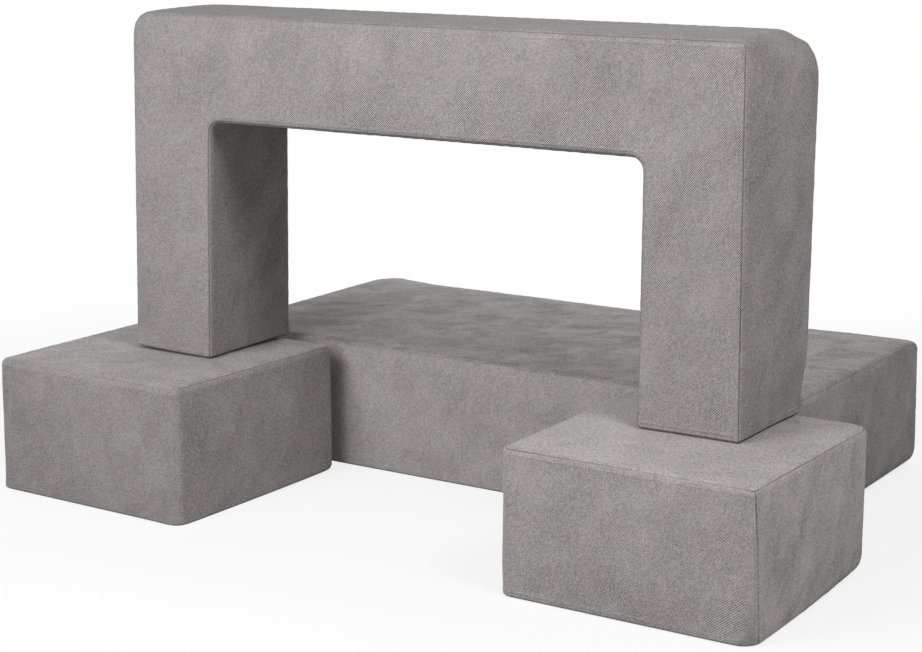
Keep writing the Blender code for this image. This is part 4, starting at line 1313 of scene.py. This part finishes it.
def bevelled_copy(node, name, width):
    """A copy of a CAD node in plated metal, with its edges bevelled."""
    bm = bmesh.new()
    bm.from_mesh(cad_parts[node].data)
    bmesh.ops.remove_doubles(bm, verts=bm.verts, dist=width * MERGED_SHARE)
    bmesh.ops.dissolve_limit(bm, angle_limit=FLAT_ANGLE, verts=bm.verts, edges=bm.edges)
    sharp = [edge for edge in bm.edges if edge.calc_face_angle(0) > SHARP_ANGLE]
    bmesh.ops.bevel(bm, geom=sharp, offset=width, segments=2, profile=0.6, affect="EDGES",
                    clamp_overlap=True)
    bmesh.ops.triangulate(bm, faces=bm.faces)
    bmesh.ops.recalc_face_normals(bm, faces=bm.faces)
    mesh = bpy.data.meshes.new(name)
    bm.to_mesh(mesh)
    bm.free()
    mesh.materials.append(finish_for("metal"))
    return new_object(name, mesh)


def seam_path(name, cushion, chosen):
    """A mesh of the cushion's edges whose two ends are both chosen."""
    mesh = cushion.data
    pairs = np.empty(len(mesh.edges) * 2, np.int32)
    mesh.edges.foreach_get("vertices", pairs)
    pairs = pairs.reshape(-1, 2)
    pairs = pairs[chosen[pairs].all(1)]
    used, renumbered = np.unique(pairs, return_inverse=True)
    path = bpy.data.meshes.new(name)
    path.from_pydata(read_vectors(mesh)[used].tolist(), renumbered.reshape(-1, 2).tolist(), [])
    write(path, "outward", read_vectors(mesh, "outward")[used])
    return path


def topstitched(cushion):
    """Which of a cushion's points lie on the line of stitches round its zip's slot."""
    flat = read_vectors(cushion.data, "flat")
    away, beyond = from_slot(cushion.name.removesuffix("_cushion"), flat)
    topstitch = bpy.context.scene.sofa_zips.topstitch
    rear = flat[:, 1] > flat[:, 1].max() - ON_FACE
    line = (np.abs(away - topstitch) < ON_LINE) & (beyond < SLOT_END_STITCH + ON_LINE)
    ends = (np.abs(beyond - SLOT_END_STITCH) < ON_LINE) & (away < topstitch + ON_LINE)
    return rear & (line | ends)


# The stage

# The camera: solved from the photograph's straight edges
PHOTO_WIDTH, PHOTO_HEIGHT = 922, 652
FOCAL_PIXELS = 2078.8
CENTRE_PIXELS = (441.5, 368.6)
CAMERA_AZIMUTH = math.radians(33.038)
CAMERA_ELEVATION = math.radians(13.539)
CAMERA_DISTANCE = 4.1255
CAMERA_TARGET = Vector((0.0362, -0.3095, 0.3160))
SENSOR = 36.0
# Softboxes, all pointing at one place: name, place, width, height, watts
LAMPS = (
    ("high left softbox", (-0.8, -3.0, 2.6), 1.4, 1.0, 48.0),
    ("high right softbox", (2.2, -1.2, 2.8), 1.0, 1.0, 46.0),
    ("front softbox", (-0.1, -2.6, 1.2), 1.2, 1.0, 16.0),
    ("rear softbox", (-1.2, 3.3, 1.0), 1.8, 1.2, 60.0),
    ("left softbox", (-3.4, 0.4, 0.6), 1.2, 0.9, 24.0),
)
LAMP_TARGET = Vector((0.0, -0.1, 0.35))


def aim(thing, place, target):
    """Put a lamp or the camera in its place and point it at a target."""
    thing.location = place
    thing.rotation_euler = (target - Vector(place)).to_track_quat("-Z", "Y").to_euler()


def make_camera(scene):
    """The camera at the photograph's place and angle."""
    lens = bpy.data.cameras.new("camera")
    lens.sensor_width = SENSOR
    lens.lens = FOCAL_PIXELS / PHOTO_WIDTH * SENSOR
    lens.shift_x = (PHOTO_WIDTH / 2 - CENTRE_PIXELS[0]) / PHOTO_WIDTH
    lens.shift_y = (CENTRE_PIXELS[1] - PHOTO_HEIGHT / 2) / PHOTO_WIDTH
    scene.camera = new_object("camera", lens)
    level = math.cos(CAMERA_ELEVATION)
    back = Vector((math.sin(CAMERA_AZIMUTH) * level, -math.cos(CAMERA_AZIMUTH) * level,
                   math.sin(CAMERA_ELEVATION)))
    aim(scene.camera, CAMERA_TARGET + back * CAMERA_DISTANCE, CAMERA_TARGET)


def make_lamps():
    """Plain soft studio lamps."""
    for name, place, width, height, watts in LAMPS:
        light = bpy.data.lights.new(name, "AREA")
        light.shape = "RECTANGLE"
        light.size, light.size_y, light.energy = width, height, watts
        aim(new_object(name, light), place, LAMP_TARGET)


def make_surroundings(scene):
    """The world's white background and grey light."""
    scene.world = bpy.data.worlds.new("studio")
    scene.world.use_nodes = True
    fill_tree(scene.world.node_tree, "ShaderNodeOutputWorld", white_surroundings)


def make_floor():
    """A round floor of studio paper."""
    bm = bmesh.new()
    bmesh.ops.create_circle(bm, cap_ends=True, segments=96, radius=FLOOR_RADIUS)
    mesh = bpy.data.meshes.new("floor")
    bm.to_mesh(mesh)
    bm.free()
    mesh.materials.append(finish_for("floor"))
    new_object("floor", mesh)


# Operators: one for each group of pieces, and one for the stage


class SOFA_OT_slab_covers(bpy.types.Operator):
    """Make the padded covers of the base and the two blocks"""

    bl_idname = "sofa.slab_covers"
    bl_label = "Base and block covers"

    def execute(self, context):
        for seed, name in enumerate(SLABS, 1):
            form = Slab(name, context.scene.sofa_covers)
            declare_cover(make_cover(form, seed), form)
        return {"FINISHED"}


class SOFA_OT_arch_cover(bpy.types.Operator):
    """Make the arch's padded cover and rest its feet on the blocks"""

    bl_idname = "sofa.arch_cover"
    bl_label = "Arch cover"

    def execute(self, context):
        form = Arch(context.scene.sofa_covers)
        cushion = make_cover(form, len(MODULES))
        for name in SLABS[1:]:
            block = bpy.data.objects.get(f"{name}_cushion")
            if block is None:
                raise RuntimeError("make the blocks before the arch")
            press_together(block, cushion, form)
        declare_cover(cushion, form)
        return {"FINISHED"}


class SOFA_OT_stitches(bpy.types.Operator):
    """Sew the seams and the zips' slots with stitches of thread"""

    bl_idname = "sofa.stitches"
    bl_label = "Stitches"

    def execute(self, context):
        seams = context.scene.sofa_seams
        tree = stitching_tree()
        values = {"Pitch": seams.stitch_pitch, "Length": seams.stitch_length,
                  "Thread": seams.thread, "Material": finish_for("thread")}
        for name in MODULES:
            cushion = bpy.data.objects.get(f"{name}_cushion")
            if cushion is None:
                raise RuntimeError("make the covers before the stitches")
            on_seam = read_numbers(cushion.data, "seam_distance") < ON_FACE
            for kind, chosen, lift in (
                ("seam_stitches", on_seam, -seams.sunk),
                ("zip_stitches", topstitched(cushion), seams.thread / 4),
            ):
                path = seam_path(f"{name}_{kind}_path", cushion, chosen)
                piece = grown(f"{name}_{kind}", path, tree, {**values, "Lift": lift})
                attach(piece, name)
        return {"FINISHED"}


class SOFA_OT_zips(bpy.types.Operator):
    """Make the zips' teeth, and finish their tapes, sliders and pulls"""

    bl_idname = "sofa.zips"
    bl_label = "Zips"

    def execute(self, context):
        zips = context.scene.sofa_zips
        tree = teeth_tree()
        values = {"Pitch": zips.pitch, "Root Width": zips.tooth_width,
                  "Root Height": zips.tooth_height, "Depth": zips.tooth_depth,
                  "Head": zips.head, "Material": finish_for("teeth")}
        for name in MODULES:
            low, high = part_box(f"{name}_zip_teeth_upper")
            plane, height = (low[1] + high[1]) / 2, zip_height(name)
            ends = [(x, plane, height) for x in (low[0] + zips.pitch, high[0] - zips.pitch)]
            path = bpy.data.meshes.new(f"{name}_zip_path")
            path.from_pydata(ends, [(0, 1)], [])
            teeth = grown(f"{name}_zip_chain", path, tree, values)
            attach(teeth, name)
            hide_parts(f"{name}_zip_teeth_upper", f"{name}_zip_teeth_lower")
            for side in ("upper", "lower"):
                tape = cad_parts[f"{name}_zip_tape_{side}"]
                tape.data.materials.clear()
                tape.data.materials.append(finish_for("tape"))
            for part in ("slider", "pull"):
                node = f"{name}_zip_{part}"
                metal = bevelled_copy(node, f"{name}_{part}_metal", zips.bevel)
                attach(metal, f"{name}_{part}")
                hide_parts(node)
        return {"FINISHED"}


class SOFA_OT_stage(bpy.types.Operator):
    """Set up the floor, the lamps, the surroundings and the camera"""

    bl_idname = "sofa.stage"
    bl_label = "Stage"

    def execute(self, context):
        context.scene.view_settings.view_transform = "Standard"
        make_camera(context.scene)
        make_lamps()
        make_surroundings(context.scene)
        make_floor()
        return {"FINISHED"}


class SOFA_PT_panel(bpy.types.Panel):
    """The play sofa's pieces and stage, in the order in which they are made"""

    bl_idname = "SOFA_PT_panel"
    bl_label = "Play sofa"
    bl_space_type = "VIEW_3D"
    bl_region_type = "UI"
    bl_category = "Play sofa"

    def draw(self, context):
        for operator in OPERATORS:
            self.layout.operator(operator.bl_idname)
        for group in GROUPS:
            values = getattr(context.scene, group)
            box = self.layout.box()
            for name in values.bl_rna.properties.keys():
                if name not in ("rna_type", "name"):
                    box.prop(values, name)


OPERATORS = (
    SOFA_OT_stage,
    SOFA_OT_slab_covers,
    SOFA_OT_arch_cover,
    SOFA_OT_stitches,
    SOFA_OT_zips,
)
GROUPS = {
    "sofa_covers": CoverSizes,
    "sofa_seams": SeamSizes,
    "sofa_zips": ZipSizes,
    "sofa_colours": Colours,
}
CLASSES = tuple(GROUPS.values()) + OPERATORS + (SOFA_PT_panel,)


def register():
    for cls in CLASSES:
        bpy.utils.register_class(cls)
    for name, group in GROUPS.items():
        setattr(bpy.types.Scene, name, PointerProperty(type=group))


def unregister():
    for name in GROUPS:
        delattr(bpy.types.Scene, name)
    for cls in reversed(CLASSES):
        bpy.utils.unregister_class(cls)


def main():
    """Make the stage, then every piece."""
    register()
    bpy.ops.sofa.stage()
    bpy.ops.sofa.slab_covers()
    bpy.ops.sofa.arch_cover()
    bpy.ops.sofa.stitches()
    bpy.ops.sofa.zips()


if __name__ == "__main__":
    main()
